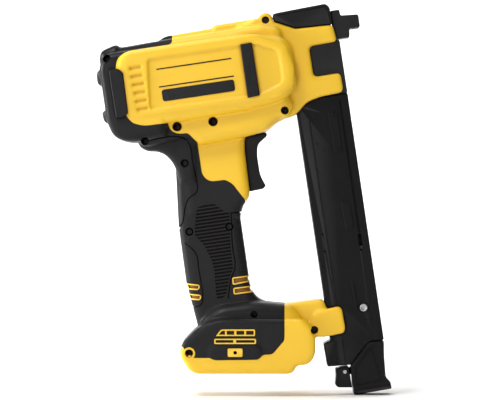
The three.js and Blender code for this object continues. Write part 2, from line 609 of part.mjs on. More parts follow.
// ---- Trigger and electrics ---------------------------------------------------------------------------------
const { x: pivotX, z: pivotZ } = TRIGGER_PIVOT;
part(
  tool, "trigger",
  less(slab(triggerOutline, -TRIGGER_HALF, TRIGGER_HALF, { bevel: 1 }), crossBar(pivotX, pivotZ, 1.9, -20, 20)),
  "black",
);
part(tool, "trigger_pin", crossBar(pivotX, pivotZ, 1.6, -PIN_HALF, PIN_HALF, { sides: 8 }), "steel");
part(tool, "trigger_spring", coil(-16.6, -8.4, 0, 158, 2.6, 0.8, 4), "steel");
part(tool, "trigger_switch", joined(box(-32, -17, -8, 8, 154, 184), box(-18, -12, -3, 3, 170, 176)), "black");
const { half: blockHalf, back: blockBack, front: blockFront, low: blockLow } = TERMINAL;
part(
  tool, "terminal_block", box(blockBack, blockFront, -blockHalf, blockHalf, blockLow, BAY.ceiling - GAP), "black",
);
for (const [index, y] of [-12, 0, 12].entries()) {
  part(tool, `battery_terminal_${index + 1}`, box(4, blockBack - GAP, y - 0.5, y + 0.5, 7, 12), "brass");
}
part(drive, "control_board", box(-171.5, -169.7, -24, 24, -60, -22), "board");

// ---- Drive -------------------------------------------------------------------------------------------------
const { u: wheelU, w: wheelW, radius: wheelRadius, half: wheelHalf } = FLYWHEEL;
const FRAME_SIDE = { inner: 28, outer: 30.5 };
const frameOutline = [
  [-164, -6.5], [-30.5, -9], [-30.5, -50], [-60, -54], [-108, -54], [-128, -57], [-158, -64], [-164, -60],
];
const rodBores = joined(
  ...[-ROD.y, ROD.y].map((y) => longBar(ROD.back - GAP, ROD.front + GAP, y, ROD.w, ROD.radius + GAP)),
);
const driveFrameBody = less(
  joined(
    sidePair(frameOutline, FRAME_SIDE.inner, FRAME_SIDE.outer),
    box(-163, -150, -FRAME_SIDE.outer, FRAME_SIDE.outer, -20, -6.5),
    box(-163, -150, -20, 20, -8, 1),
    box(-34.5, -30.5, -FRAME_SIDE.outer, FRAME_SIDE.outer, -14, -9),
    box(-34.5, -30.5, -15, 15, -10, 2.4),
  ),
  bladeWay, rodBores,
  sidePair([[CRADLE_PIVOT.u - 3, CRADLE_PIVOT.w - 3], [CRADLE_PIVOT.u + 3, CRADLE_PIVOT.w - 3],
    [CRADLE_PIVOT.u + 3, CRADLE_PIVOT.w + 3], [CRADLE_PIVOT.u - 3, CRADLE_PIVOT.w + 3]], 27, 32),
);
part(drive, "drive_frame", driveFrameBody, "aluminium");
const cradleOutline = [
  [-114, -18, 4], [-86, -18, 4], [-64, -33, 2], [-64, -39, 2], [-86, -45, 4], [-112, -47, 2], [-150, -61, 3],
  [-158, -56, 3], [-154, -46, 3],
];
part(
  drive, "motor_cradle",
  less(
    slab(cradleOutline, -27, 27), box(-139, -73, -18.7, 18.7, -70, 0),
    crossBar(wheelU, wheelW, BEARING.outer + GAP, -30, 30, { sides: 20 }),
    crossBar(CRADLE_PIVOT.u, CRADLE_PIVOT.w, 2.4, -30, 30),
  ),
  "aluminium",
);
part(drive, "cradle_pin", crossBar(CRADLE_PIVOT.u, CRADLE_PIVOT.w, 2.1, -30.5, 30.5), "steel");
part(
  drive, "flywheel",
  turned(
    [[5.2, 16], [23, 16], [23, wheelHalf], [wheelRadius, wheelHalf], [wheelRadius, -wheelHalf], [23, -wheelHalf],
      [23, -17], [20, -17], [20, 12], [5.2, 12]],
    wheelU, wheelW, 24,
  ),
  "steel",
);
part(
  drive, "motor_stator",
  turned([[6, 10], [19, 10], [19, -17], [6, -17]], wheelU, wheelW, 14),
  "blackSteel",
);
part(drive, "flywheel_axle", crossBar(wheelU, wheelW, BEARING.inner - GAP, -27, 27, { sides: 14 }), "steel");
for (const [side, sign] of [["right", -1], ["left", 1]]) {
  const [a, b] = [sign * BEARING.from, sign * BEARING.to].sort((p, q) => p - q);
  const ring = [[BEARING.inner, b], [BEARING.outer, b], [BEARING.outer, a], [BEARING.inner, a]];
  part(drive, `flywheel_bearing_${side}`, turned(ring, wheelU, wheelW, 14), "steel");
  part(drive, `guide_rod_${side}`, longBar(ROD.back, ROD.front, sign * ROD.y, ROD.w, ROD.radius), "steel");
  part(
    drive, `return_spring_${side}`, coil(CARRIER.back + 5 + GAP, -41.3, sign * ROD.y, ROD.w, 3.1, 1, 12), "steel",
  );
}
part(
  drive, "driver",
  less(
    joined(
      box(CARRIER.back, CARRIER.front, -5, 5, -4, 1),
      box(CARRIER.back, CARRIER.back + 5, -13.4, 13.4, -4, 1.4),
      box(CARRIER.front - 1, BLADE_TIP, -6.5, 6.5, -1, 1),
    ),
    rodBores,
  ),
  "steel",
);
part(drive, "stop_bumper", less(box(-41, -34.8, -14, 14, -7, 3), bladeWay, rodBores), "rubber");
part(drive, "solenoid", less(upBar(-68.5, 0, 8, -63, -47), upBar(-68.5, 0, 3.3, -60, -46)), "blackSteel");
part(drive, "solenoid_plunger", upBar(-68.5, 0, 3, -58, -41.6), "steel");

// The part stands on the middle of its box's underside.
const nailer = new THREE.Group();
nailer.add(tool);
const bounds = new THREE.Box3().setFromObject(tool, true);
tool.position.set(-(bounds.min.x + bounds.max.x) / 2, 0, -bounds.min.z);

export default nailer;
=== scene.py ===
"""A bare cordless stapler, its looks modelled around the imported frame."""

import json
import math

import bmesh
import bpy
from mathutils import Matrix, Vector

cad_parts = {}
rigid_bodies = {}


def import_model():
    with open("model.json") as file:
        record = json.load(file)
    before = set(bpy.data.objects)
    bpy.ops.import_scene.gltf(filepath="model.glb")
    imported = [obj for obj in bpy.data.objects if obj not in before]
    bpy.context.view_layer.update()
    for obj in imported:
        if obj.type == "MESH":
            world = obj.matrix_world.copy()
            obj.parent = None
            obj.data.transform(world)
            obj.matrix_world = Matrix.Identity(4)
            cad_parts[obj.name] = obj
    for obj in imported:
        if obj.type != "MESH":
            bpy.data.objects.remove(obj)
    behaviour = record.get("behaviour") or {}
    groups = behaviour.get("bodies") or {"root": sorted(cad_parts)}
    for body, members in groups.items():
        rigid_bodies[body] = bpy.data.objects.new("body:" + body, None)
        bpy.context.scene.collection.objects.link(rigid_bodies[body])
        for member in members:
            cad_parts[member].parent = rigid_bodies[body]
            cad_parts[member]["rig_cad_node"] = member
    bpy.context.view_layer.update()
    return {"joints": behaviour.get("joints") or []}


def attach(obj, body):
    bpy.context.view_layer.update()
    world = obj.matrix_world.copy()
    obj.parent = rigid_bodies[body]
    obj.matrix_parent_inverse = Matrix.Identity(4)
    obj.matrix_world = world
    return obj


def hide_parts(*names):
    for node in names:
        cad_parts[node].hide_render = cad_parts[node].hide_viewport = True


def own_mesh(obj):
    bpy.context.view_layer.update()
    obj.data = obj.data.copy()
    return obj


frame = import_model()
MM = 0.001
SAME_PLACE = 1e-6  # points this near each other, in metres, are one point

# ---- Places ----
# The drive plane leans with the barrel: u runs forwards along the drive line and w up the magazine. The foot
# plane is upright. Both are placed by the joints, and both are in millimetres.
JOINTS = {joint["name"]: joint for joint in frame["joints"]}
FORWARD = Vector(JOINTS["driver_stroke"]["axis"])
UPWARD = Vector(JOINTS["plunger_push"]["axis"])
FLYWHEEL_AT = (-100.0, -30.8)
TRIGGER_AT = (2.0, 196.0)
LATCH_AT = (-12.5, -289.0)
DRIVE_ORIGIN = (
    Vector(JOINTS["flywheel_spin"]["pos_m"])
    - FORWARD * FLYWHEEL_AT[0] * MM
    - UPWARD * FLYWHEEL_AT[1] * MM
)
FOOT_ORIGIN = Vector(JOINTS["trigger_pull"]["pos_m"]) - Vector((TRIGGER_AT[0], 0, TRIGGER_AT[1])) * MM


def drive(u, w, y=0.0):
    return DRIVE_ORIGIN + FORWARD * (u * MM) + UPWARD * (w * MM) + Vector((0, y * MM, 0))


def foot(x, z, y=0.0):
    return FOOT_ORIGIN + Vector((x, y, z)) * MM


LEAN = math.atan2(FORWARD.z, FORWARD.x)

# ---- Driving sizes, in millimetres ----
WALL = 4.3
SEAM = 0.3  # the open line between pieces that meet
VOXEL = 0.85
FAR = 60
BARREL_HALF = 36
PANEL_HALF = 38
PAD_HALF = 39.5
FOOT_HALF = 37
GRIP_HALF = 18
FRONT_HALF = 20
MAGAZINE_HALF = 14
SCREW_SEAT = 10


# ---- Handwork ----
def deselect():
    if bpy.context.mode != "OBJECT":
        bpy.ops.object.mode_set(mode="OBJECT")
    bpy.ops.object.select_all(action="DESELECT")


def take(piece):
    """Makes a piece the only one selected, and active."""
    deselect()
    piece.select_set(True)
    bpy.context.view_layer.objects.active = piece
    return piece


def edit(piece):
    """Opens a piece in edit mode, with all its vertices selected."""
    take(piece)
    bpy.ops.object.mode_set(mode="EDIT")
    bpy.ops.mesh.select_mode(type="VERT")
    bpy.ops.mesh.select_all(action="SELECT")


def choose(kind, test):
    """Selects the faces, edges or vertices that pass a test, in edit mode."""
    bpy.ops.mesh.select_mode(type=kind)
    bpy.ops.mesh.select_all(action="DESELECT")
    mesh = bmesh.from_edit_mesh(bpy.context.object.data)
    items = {"VERT": mesh.verts, "EDGE": mesh.edges, "FACE": mesh.faces}[kind]
    for item in items:
        if test(item):
            item.select_set(True)
    mesh.select_flush_mode()
    bmesh.update_edit_mesh(bpy.context.object.data)


def outward():
    bpy.ops.mesh.select_all(action="SELECT")
    bpy.ops.mesh.normals_make_consistent(inside=False)


def apply(piece, kind, **settings):
    """Gives a piece a modifier and applies it."""
    take(piece)
    modifier = piece.modifiers.new(kind.title(), kind)
    for name, value in settings.items():
        setattr(modifier, name, value)
    bpy.ops.object.modifier_apply(modifier=modifier.name)
    return piece


def copied(piece, name):
    other = piece.copy()
    other.data = piece.data.copy()
    other.name = name
    bpy.context.scene.collection.objects.link(other)
    return other


def joined(*pieces):
    """One object that holds them all."""
    deselect()
    for piece in pieces:
        piece.select_set(True)
    bpy.context.view_layer.objects.active = pieces[0]
    bpy.ops.object.join()
    return pieces[0]


def combine(piece, tool, operation, keep=False):
    apply(piece, "BOOLEAN", operation=operation, object=tool, solver="MANIFOLD")
    if not keep:
        bpy.data.objects.remove(tool)
    return piece


def cut(piece, *tools, keep=False):
    for tool in tools:
        combine(piece, tool, "DIFFERENCE", keep)
    return piece


def common(piece, tool, keep=False):
    return combine(piece, tool, "INTERSECT", keep)


def united(piece, *tools):
    for tool in tools:
        combine(piece, tool, "UNION")
    return piece


def mirrored(piece, name):
    """The same piece on the tool's other side."""
    other = copied(piece, name)
    edit(other)
    bpy.ops.transform.resize(value=(1, -1, 1), center_override=(0, 0, 0))
    bpy.ops.mesh.flip_normals()
    deselect()
    return other


def outline_face(name, corners, place, y):
    """Draws an outline corner by corner, fills it, and rounds each corner that gives a radius."""
    deselect()
    points = [place(a, b, y) for a, b, *_ in corners]
    bpy.ops.mesh.primitive_plane_add(size=MM, location=points[0])
    piece = bpy.context.object
    piece.name = name
    edit(piece)
    bpy.ops.mesh.merge(type="CENTER")
    for here, there in zip(points, points[1:]):
        bpy.ops.mesh.extrude_region_move(TRANSFORM_OT_translate={"value": there - here})
    bpy.ops.mesh.select_all(action="SELECT")
    bpy.ops.mesh.edge_face_add()
    radii = {corner[2] for corner in corners if len(corner) > 2}
    for radius in sorted(radii):
        rounded = [point for point, corner in zip(points, corners) if corner[2:] == (radius,)]
        choose("VERT", lambda v: any((v.co + piece.location - p).length < SAME_PLACE for p in rounded))
        bpy.ops.mesh.bevel(offset=radius * MM, segments=5 if radius > 2 else 3, affect="VERTICES")
    return piece


def slab(name, corners, y0, y1, place=drive, rim=0.0, drop=None, caps="both", steps=4):
    """An outline carried across the tool from y0 to y1. A cap's rim curves in by rim over a depth of drop."""
    drop = rim if drop is None else drop
    low = y0 + (drop if caps in ("both", "low") else 0)
    high = y1 - (drop if caps in ("both", "high") else 0)
    piece = outline_face(name, corners, place, low)
    bpy.ops.mesh.select_all(action="SELECT")
    bpy.ops.mesh.extrude_region_move(TRANSFORM_OT_translate={"value": (0, (high - low) * MM, 0)})
    outward()
    if rim:
        def is_cap(face):
            if abs(face.normal.y) < 0.99 or len(face.verts) < 3:
                return False
            return caps == "both" or (face.normal.y < 0) == (caps == "low")
        choose("FACE", is_cap)
        turns = [math.pi / 2 * i / steps for i in range(steps + 1)]
        for a, b in zip(turns, turns[1:]):
            inwards = rim * (math.cos(a) - math.cos(b)) * MM
            outwards = drop * (math.sin(b) - math.sin(a)) * MM
            bpy.ops.mesh.inset(thickness=inwards, depth=outwards, use_even_offset=True)
    take(piece)
    bpy.ops.object.transform_apply(location=True, rotation=True, scale=True)
    return piece


def bar(name, a, b, radius, y0, y1, place=drive, sides=32):
    """A round bar across the tool."""
    deselect()
    bpy.ops.mesh.primitive_cylinder_add(
        vertices=sides, radius=radius * MM, depth=(y1 - y0) * MM, location=place(a, b, (y0 + y1) / 2),
        rotation=(math.pi / 2, 0, 0),
    )
    piece = bpy.context.object
    piece.name = name
    bpy.ops.object.transform_apply(location=True, rotation=True, scale=True)
    return piece


def block(name, a0, a1, b0, b1, y0, y1, place=drive):
    corners = [(a0, b0), (a1, b0), (a1, b1), (a0, b1)]
    return slab(name, corners, y0, y1, place)


def ribbon(name, points, width, y0, y1, place=foot):
    """A thin curved wall through points, to cut a line with."""
    deselect()
    bpy.ops.curve.primitive_bezier_curve_add(location=(0, 0, 0))
    line = bpy.context.object
    line.name = name
    spline = line.data.splines[0]
    spline.bezier_points.add(len(points) - 2)
    for knot, (a, b) in zip(spline.bezier_points, points):
        knot.co = place(a, b, y0)
        knot.handle_left_type = "AUTO"
        knot.handle_right_type = "AUTO"
    line.data.resolution_u = 8
    bpy.ops.object.convert(target="MESH")
    wall = bpy.context.object
    edit(wall)
    bpy.ops.mesh.remove_doubles(threshold=SAME_PLACE)
    bpy.ops.mesh.extrude_region_move(TRANSFORM_OT_translate={"value": (0, (y1 - y0) * MM, 0)})
    deselect()
    apply(wall, "SOLIDIFY", thickness=width * MM, offset=0, use_even_offset=True)
    edit(wall)
    outward()
    deselect()
    return wall


def soften(piece, angle):
    take(piece)
    bpy.ops.object.shade_smooth_by_angle(angle=math.radians(angle))


def rounded_edges(piece, width, segments=2, angle=40):
    return apply(
        piece, "BEVEL", width=width * MM, segments=segments, limit_method="ANGLE",
        angle_limit=math.radians(angle), miter_outer="MITER_ARC",
    )


def grown(piece, distance):
    """Moves every face of a plain solid outwards by a distance, or inwards if it is negative."""
    edit(piece)
    bpy.ops.transform.shrink_fatten(value=distance * MM, use_even_offset=True)
    deselect()
    return piece


def without_radii(corners):
    return [corner[:2] for corner in corners]


def remeshed(piece, voxel, passes):
    """One skin over all that a piece holds, with soft inner and outer edges."""
    apply(piece, "REMESH", mode="VOXEL", voxel_size=voxel * MM, adaptivity=0)
    return apply(piece, "SMOOTH", factor=0.5, iterations=passes)


# ---- Outlines of the body ----
# Corners are (u, w) or (x, z), with a radius where the corner is rounded.
BARREL = [
    (-24, -5, 4), (-18, -13, 4), (-18, -47, 6), (-29, -57, 6), (-60, -61), (-128, -62.5), (-131, -73.5),
    (-160, -74, 6), (-174, -68, 6), (-178, -54, 4), (-178, -8, 4), (-171, 2.5, 5), (-60, 1.5),
]
CROWN = [
    (-24, 3, 5), (-40, 8), (-112, 7.4), (-158, 6.2), (-161, 9), (-165, 8.4, 1), (-174.5, 5.6, 2.5), (-177, 0, 3),
    (-177, -30), (-24, -30),
]
RIDGE = [(-30, 12.8), (-42, 14.2), (-78, 13.7), (-81, 11.4), (-120, 10.6, 2), (-129, 6.6), (-140, -20), (-30, -20)]
FRONT = [
    (-44, 14), (-30, 9.5), (-11.8, 0.6), (19.4, -0.6, 3), (21, -14.9, 3), (-2.7, -15.5, 3.5), (-2.6, -41.5, 3.5),
    (20, -41.2, 3), (20.4, -57.4, 4), (-2, -58.7, 6), (-12.6, -62, 4), (-21.5, -71, 6), (-36, -72.8, 6),
    (-47.5, -80.5, 2), (-62, -82), (-62, 8),
]
BELLY = [
    (-27, -50), (-22, -63, 4), (-28, -71, 4), (-37, -72), (-47, -79.5), (-60, -82), (-104, -84), (-114, -77),
    (-152, -79, 5), (-156, -70, 4), (-150, -60), (-128, -50),
]
NECK = [
    (24, 216), (21, 203.5), (9, 201), (4, 196), (4, 186), (8.6, 147.5, 3), (0.4, 136), (0.6, 128), (-45, 128),
    (-50, 170), (-45, 206),
]
LUG = [
    (-35, 206), (-80, 201, 3), (-86.5, 191, 5), (-79, 184.8, 4), (-66, 184.8, 6), (-54.5, 175, 8), (-50, 157),
    (-35, 155),
]
GRIP = [
    (-54, 176), (-51.3, 122.5), (-45, 76), (-35, 38), (-20, 28), (20, 28), (30, 57.5), (16, 60.5, 6), (8.8, 70, 5),
    (5.9, 92), (0.4, 130), (6, 152), (2, 176),
]
FOOT = [
    (-34, 40, 8), (-49.5, 24, 5), (-49.5, 14.5, 4), (-40, 0, 6), (44, 0, 4), (47, 7, 2), (57, 7.6, 4),
    (62.6, 15, 5), (62.6, 36, 8), (54, 45, 4), (-18, 46, 8),
]
SHOULDER = [(-38, 24), (-33, 44, 8), (-20, 56, 8), (12, 60, 8), (42, 57, 6), (53, 45, 7), (53, 24)]
ARM = [
    (10, 57.5), (40, 57.8), (69.6, 61.4, 2.5), (74, 50), (84, 40), (84, 33), (62, 29.3), (55, 18), (10, 18),
]
ARM_PLATE = [(63, 51, 3), (84.6, 56, 4), (88.4, 33.6, 4), (69.7, 29.6, 3), (58, 30.5, 3), (57.5, 41, 3)]
UPPER_BACK_LUG = [
    (-170, -9.6), (-178.6, -9.6, 1), (-181.3, -12.6, 1), (-181.5, -21, 1), (-179, -23.4, 1), (-170, -23.4),
]
LOWER_BACK_LUG = [(-170, -44.4), (-181.5, -44.4, 2), (-180.7, -53.4, 2), (-177, -55.4), (-170, -54)]
BACK_BAR = [(-172, -21), (-178.2, -21), (-178.2, -46), (-172, -46)]
PANEL = [
    (-163, -9, 5), (-157, 0.6, 6), (-46, 0.6, 5), (-22, -9.4, 5), (-17.4, -32, 3), (-20, -47, 4), (-34, -55.4, 5),
    (-152, -55, 5), (-162, -50, 5),
]
RECESS = [(-137, -7.6, 2), (-50, -7.6, 3), (-28.4, -16, 5), (-28.4, -43.4, 5), (-50, -50, 3), (-141, -49.2, 2)]
SIDE_PAD = [(-59.3, -7, 1), (-49.8, -6.8, 1), (-49.6, -50.6, 1), (-59.5, -51.4, 1)]
CORNER_PAD = [
    (-170, -12, 1.5), (-162.5, -12, 1.5), (-158.6, -16, 2.5), (-159.4, -49, 2), (-163, -52.2, 1.5),
    (-169.6, -52, 1.5),
]
TOP_SCREW = (-35.4, 11.4)
FOOT_SCREW = (-42, 17.2)
FOOT_RING = 5.9
HOOK_PLATE = [
    (-25, 13.6), (-21, 11.8, 2), (15, 12.3, 2), (18.4, 16, 1), (17.4, 22, 2), (13.6, 24.2, 2), (-22, 24.2, 2),
    (-25.5, 20, 1),
]
HOOK_PLATE_HALF = 38.2
RECESS_DEPTH = 1.7
PANEL_RIM = 5
PAD_SEAT = 34

# ---- The body as one moulded skin ----
panel = slab("panel", PANEL, -PANEL_HALF, -30, caps="low", rim=PANEL_RIM, drop=2.2)
panels = joined(panel, mirrored(panel, "panel_left"))
body = joined(
    slab("barrel", BARREL, -BARREL_HALF, BARREL_HALF, rim=6),
    slab("crown", CROWN, -27, 27, rim=6),
    slab("ridge", RIDGE, -15, 15, rim=3.5),
    slab("front", FRONT, -FRONT_HALF, FRONT_HALF, rim=2.6),
    slab("belly", BELLY, -29, 29, rim=7),
    slab("neck", NECK, -19.2, 19.2, foot, rim=6),
    slab("lug", LUG, -21, 21, foot, rim=5),
    slab("grip", GRIP, -GRIP_HALF, GRIP_HALF, foot, rim=7),
    slab("foot", FOOT, -FOOT_HALF, FOOT_HALF, foot, rim=4),
    slab("shoulder", SHOULDER, -27, 27, foot, rim=9),
    slab("arm", ARM, -17.5, 17.5, foot, rim=3),
    slab("arm_plate", ARM_PLATE, -FRONT_HALF, FRONT_HALF, foot, rim=1.6),
    slab("upper_back_lug", UPPER_BACK_LUG, -24, 24, rim=2),
    slab("lower_back_lug", LOWER_BACK_LUG, -24, 24, rim=2),
    slab("back_bar", BACK_BAR, -20, 20, rim=3),
    bar("top_boss", *TOP_SCREW, 6.2, -17, 17),
    bar("foot_boss", *FOOT_SCREW, FOOT_RING, -FOOT_HALF, FOOT_HALF, foot),
    slab("hook_plate", HOOK_PLATE, -HOOK_PLATE_HALF, HOOK_PLATE_HALF, foot, rim=0.8),
    panels,
)
remeshed(body, VOXEL, 3)
VENT_ROWS = 6
VENT_PITCH = 6.9
VENT_DEPTH = 1.8
vents = []
for row in range(VENT_ROWS):
    u = -153 + 0.2 * row
    w = -15 - VENT_PITCH * row
    vents.append(block("vent", u, u + 10.4, w, w + 3.4, -FAR, VENT_DEPTH - PANEL_HALF))
soft_cuts = joined(*vents, slab("recess", RECESS, -FAR, RECESS_DEPTH - PANEL_HALF, caps="high", rim=1.2))
cut(body, mirrored(soft_cuts, "soft_cuts_left"), soft_cuts)
remeshed(body, VOXEL, 3)
body.name = "body"

# ---- The room inside ----
SCREWS = {
    "top": (drive, *TOP_SCREW, 3.2),
    "front": (drive, -30.6, -65.8, 3.4),
    "motor_front": (drive, -90.9, -66.3, 4.0),
    "motor_rear": (drive, -121, -66.1, 4.0),
    "cap": (drive, -170.4, -2, 3.4),
    "lug": (drive, -149.2, -74.2, 3.4),
    "grip_top": (foot, -46, 174.7, 3.4),
    "grip_rear": (foot, -42.2, 117.6, 3.4),
    "grip_front": (foot, -8.8, 121.8, 3.4),
    "grip_base": (foot, 11.8, 49.1, 3.0),
    "foot_rear": (foot, *FOOT_SCREW, 3.4),
    "arm": (foot, 62, 35.8, 3.4),
}
BAY_BACK = -60
BAY_FRONT = 40
BAY_HALF = 31
BAY_MOUTH_HALF = 27
BAY_LIP = 4.2
BAY_CEILING = 14
BAY_FLOOR = 18
TRIGGER_SLOT = [(-12, 149.5), (12, 150.6), (30, 153), (30, 201.6), (9, 199.4), (3, 205), (-12, 205)]
CHANNEL_HALF = MAGAZINE_HALF + SEAM


def hollow():
    """All that is cut away inside the body: the cavity, the battery bay, the channels and the screw wells."""
    room = None
    for corners, half, place in (
        (BARREL, BARREL_HALF, drive), (BELLY, 29, drive), (NECK, 21, foot), (GRIP, GRIP_HALF, foot),
        (FOOT, FOOT_HALF, foot),
    ):
        part = grown(slab("room", without_radii(corners), -half, half, place), -WALL)
        room = united(room, part) if room else part
    cut(room, block("bay_floor", -90, BAY_FRONT + 6, -10, BAY_FLOOR, -FAR, FAR, foot))
    cut(room, *[bar("boss", a, b, 5, -FAR, FAR, place) for place, a, b, _ in SCREWS.values()])
    united(
        room,
        block("bay_mouth", BAY_BACK, BAY_FRONT, -5, BAY_LIP + 1, -BAY_MOUTH_HALF, BAY_MOUTH_HALF, foot),
        block("bay", BAY_BACK, BAY_FRONT, BAY_LIP, BAY_CEILING, -BAY_HALF, BAY_HALF, foot),
        block("magazine_channel", -21.5, 60, -340, 30, -CHANNEL_HALF, CHANNEL_HALF),
        block("nose_channel", -29, 60, -14, 30, -CHANNEL_HALF, CHANNEL_HALF),
        slab("trigger_slot", TRIGGER_SLOT, -10.2, 10.2, foot),
        *[bar("well", a, b, well, -FAR, -SCREW_SEAT, place) for place, a, b, well in SCREWS.values()],
    )
    return room


# ---- The body's pieces ----
YELLOW_BARREL = [
    (-113, 30), (-115, 2.3, 3), (-158, 1.6, 9), (-164.4, -9, 5), (-161.7, -54, 8), (-152, -61.6, 8), (-128, -62.1),
    (-127, -69, 4), (-120, -72.4, 3), (-113, -72.4, 2), (-106.3, -81.4), (-106.3, -100), (60, -100), (60, 30),
]
YELLOW_NECK = [
    (-35.3, 210), (-35.3, 192), (-31, 163, 5), (-24, 159.6, 2), (-12, 161, 2), (-6, 157.5, 2), (5, 143.4),
    (5, 140), (60, 140), (60, 210),
]
YELLOW_FOOT = [
    (37.4, 90), (37, 28, 2), (27, 16.4, 2), (19, 16, 2), (15.5, 12, 2), (-21, 11.5, 2), (-25, 13.4), (-38, 13.4),
    (-48, 23), (-80, 23), (-80, -20), (120, -20), (120, 90),
]
CAP_SPACE = [(-220, 40), (-60, 40), (-60, -69.8), (-131, -69.8), (-220, -71.5)]


def yellow_space(extra):
    """Where the shell is yellow, grown by extra so that it can also cut the dark pieces free."""
    spaces = [
        grown(slab("space", corners, -FAR, FAR, place), extra)
        for corners, place in ((YELLOW_BARREL, drive), (YELLOW_NECK, foot), (YELLOW_FOOT, foot))
    ]
    return united(*spaces, bar("ring_space", *FOOT_SCREW, FOOT_RING - 0.9 + extra, -FAR, FAR, foot, sides=48))


def sunk(depth, name):
    """The body's outer skin, moved inwards, or outwards if the depth is negative."""
    return apply(copied(body, name), "DISPLACE", strength=-depth * MM, mid_level=0)


def one_side(piece, side, name):
    """The part of a piece on one side of the joint in the tool's middle."""
    y0, y1 = (-FAR, -SEAM / 2) if side == "right" else (SEAM / 2, FAR)
    return common(copied(piece, name), block("side", -400, 200, -400, 200, y0, y1))


PROUD = 0.25
GROOVE = 0.8
RIB_DEPTH = 1.2
BASE_DEPTH = 1.7
LIP = 1.3
skin_out = sunk(-PROUD, "skin_out")
skin_groove = sunk(GROOVE, "skin_groove")
skin_rib = sunk(RIB_DEPTH, "skin_rib")
skin_base = sunk(BASE_DEPTH, "skin_base")

# Lines, ribs and dimples pressed into the grip.
SEAM_LINES = [
    [
        (-75.6, 193.3), (-65.8, 195.5), (-50.8, 196.6), (-44.1, 193.6), (-40.7, 186.5), (-39.6, 177.5),
        (-36.6, 162.5), (-35.8, 151.3), (-42.6, 145.3), (-45.6, 137.8), (-47.5, 126.5), (-52, 118),
    ],
    [(-46, 108.5), (-36.5, 99.1), (-34.4, 87.1), (-32.2, 74.3), (-30.9, 63.1), (-32.7, 56.7), (-40, 54.5)],
    [(-7.4, 133.4), (-6.2, 106), (-4.2, 87), (-7.2, 79), (-9.8, 62)],
    [(-7.4, 133.4), (2, 133.8)],
]
RIB_PANEL = [
    (-35.5, 137.5), (-27, 141, 3), (-20.5, 140.5, 2), (-13.5, 134.5, 2), (-9, 133.5, 1), (-7.8, 104), (-5.8, 87),
    (-9, 79), (-11.5, 64.5), (-18.8, 60.5, 2), (-20, 68), (-21, 84.6), (-23.5, 94), (-29.5, 106), (-37.8, 115.3),
    (-36.6, 132, 2),
]
RIB_PITCH = 2.85
RIB_GAP = 1.5
RIB_TOP = -134
RIB_COUNT = 28
rib_panel = slab("rib_panel", RIB_PANEL, -FAR, FAR, foot)
ribs = joined(*[
    block("rib", -130, -70, RIB_TOP - RIB_PITCH * row - RIB_GAP, RIB_TOP - RIB_PITCH * row, -FAR - 1, FAR + 1)
    for row in range(RIB_COUNT)
])
common(rib_panel, ribs)
pressed = cut(rib_panel, skin_rib, keep=True)
for points in SEAM_LINES:
    line = cut(ribbon("seam_line", points, 1, -FAR, FAR), skin_rib, keep=True)
    pressed = united(pressed, line)
DIMPLE = 0.85
DIMPLE_RISE = 0.45  # from the skin out to a dimple's middle
DIMPLE_ROWS = 17
DIMPLE_TOP = 131
DIMPLE_PITCH = 2.95


def dimples():
    """Three columns of round dimples up each side of the grip's front, set on the skin by looking for it."""
    balls = []
    for row in range(DIMPLE_ROWS):
        z = DIMPLE_TOP - DIMPLE_PITCH * row
        for column in range(3):
            x = -4.2 + (133 - z) * 0.085 + 2.45 * column
            hit, at, normal, _ = body.ray_cast(foot(x, z, -FAR), Vector((0, 1, 0)))
            if not hit:
                continue
            middle = at + normal * (DIMPLE_RISE * MM)
            for side in (1, -1):
                deselect()
                bpy.ops.mesh.primitive_ico_sphere_add(
                    subdivisions=2, radius=DIMPLE * MM, location=(middle.x, middle.y * side, middle.z),
                )
                bpy.ops.object.transform_apply(location=True)
                balls.append(bpy.context.object)
    return joined(*balls)


# Slots in the grip with a bright rim and a darker floor.
ACCENTS = [
    [(-45.5, 74.6, 1), (-33.2, 73.4, 2), (-34, 68.9, 2), (-43, 69.3, 1)],
    [(-43.8, 66, 1), (-32, 65, 2), (-32.8, 60.4, 2), (-41.5, 60.9, 1)],
    [(-6.6, 79.4, 1.5), (9.5, 81.4, 1), (9.3, 76.2, 1), (-6, 73.2, 1.5)],
    [(-5.6, 70.8, 1.5), (12, 73, 1), (12, 67.4, 1), (-5.2, 65.2, 1.5)],
]
ACCENT_RIM = 1.1
ACCENT_GAP = 0.15


def accents():
    """Each accent's pocket, its rim and its floor."""
    pockets, rims, floors = [], [], []
    for corners in ACCENTS:
        whole = slab("accent_rim", corners, -FAR, FAR, foot)
        inside = grown(slab("accent_inside", without_radii(corners), -FAR, FAR, foot), -ACCENT_RIM)
        pockets.append(cut(grown(copied(whole, "pocket"), ACCENT_GAP), skin_base, keep=True))
        rim = cut(common(whole, skin_out, keep=True), skin_base, keep=True)
        rims.append(cut(rim, inside, keep=True))
        floors.append(cut(common(inside, skin_groove, keep=True), skin_base, keep=True))
    return joined(*pockets), joined(*rims), joined(*floors)


accent_pockets, accent_rims, accent_floors = accents()
dimple_tool = dimples()
bpy.data.objects.remove(skin_out)
cut(body, hollow())
for tool in (dimple_tool, pressed, accent_pockets):
    cut(body, tool)

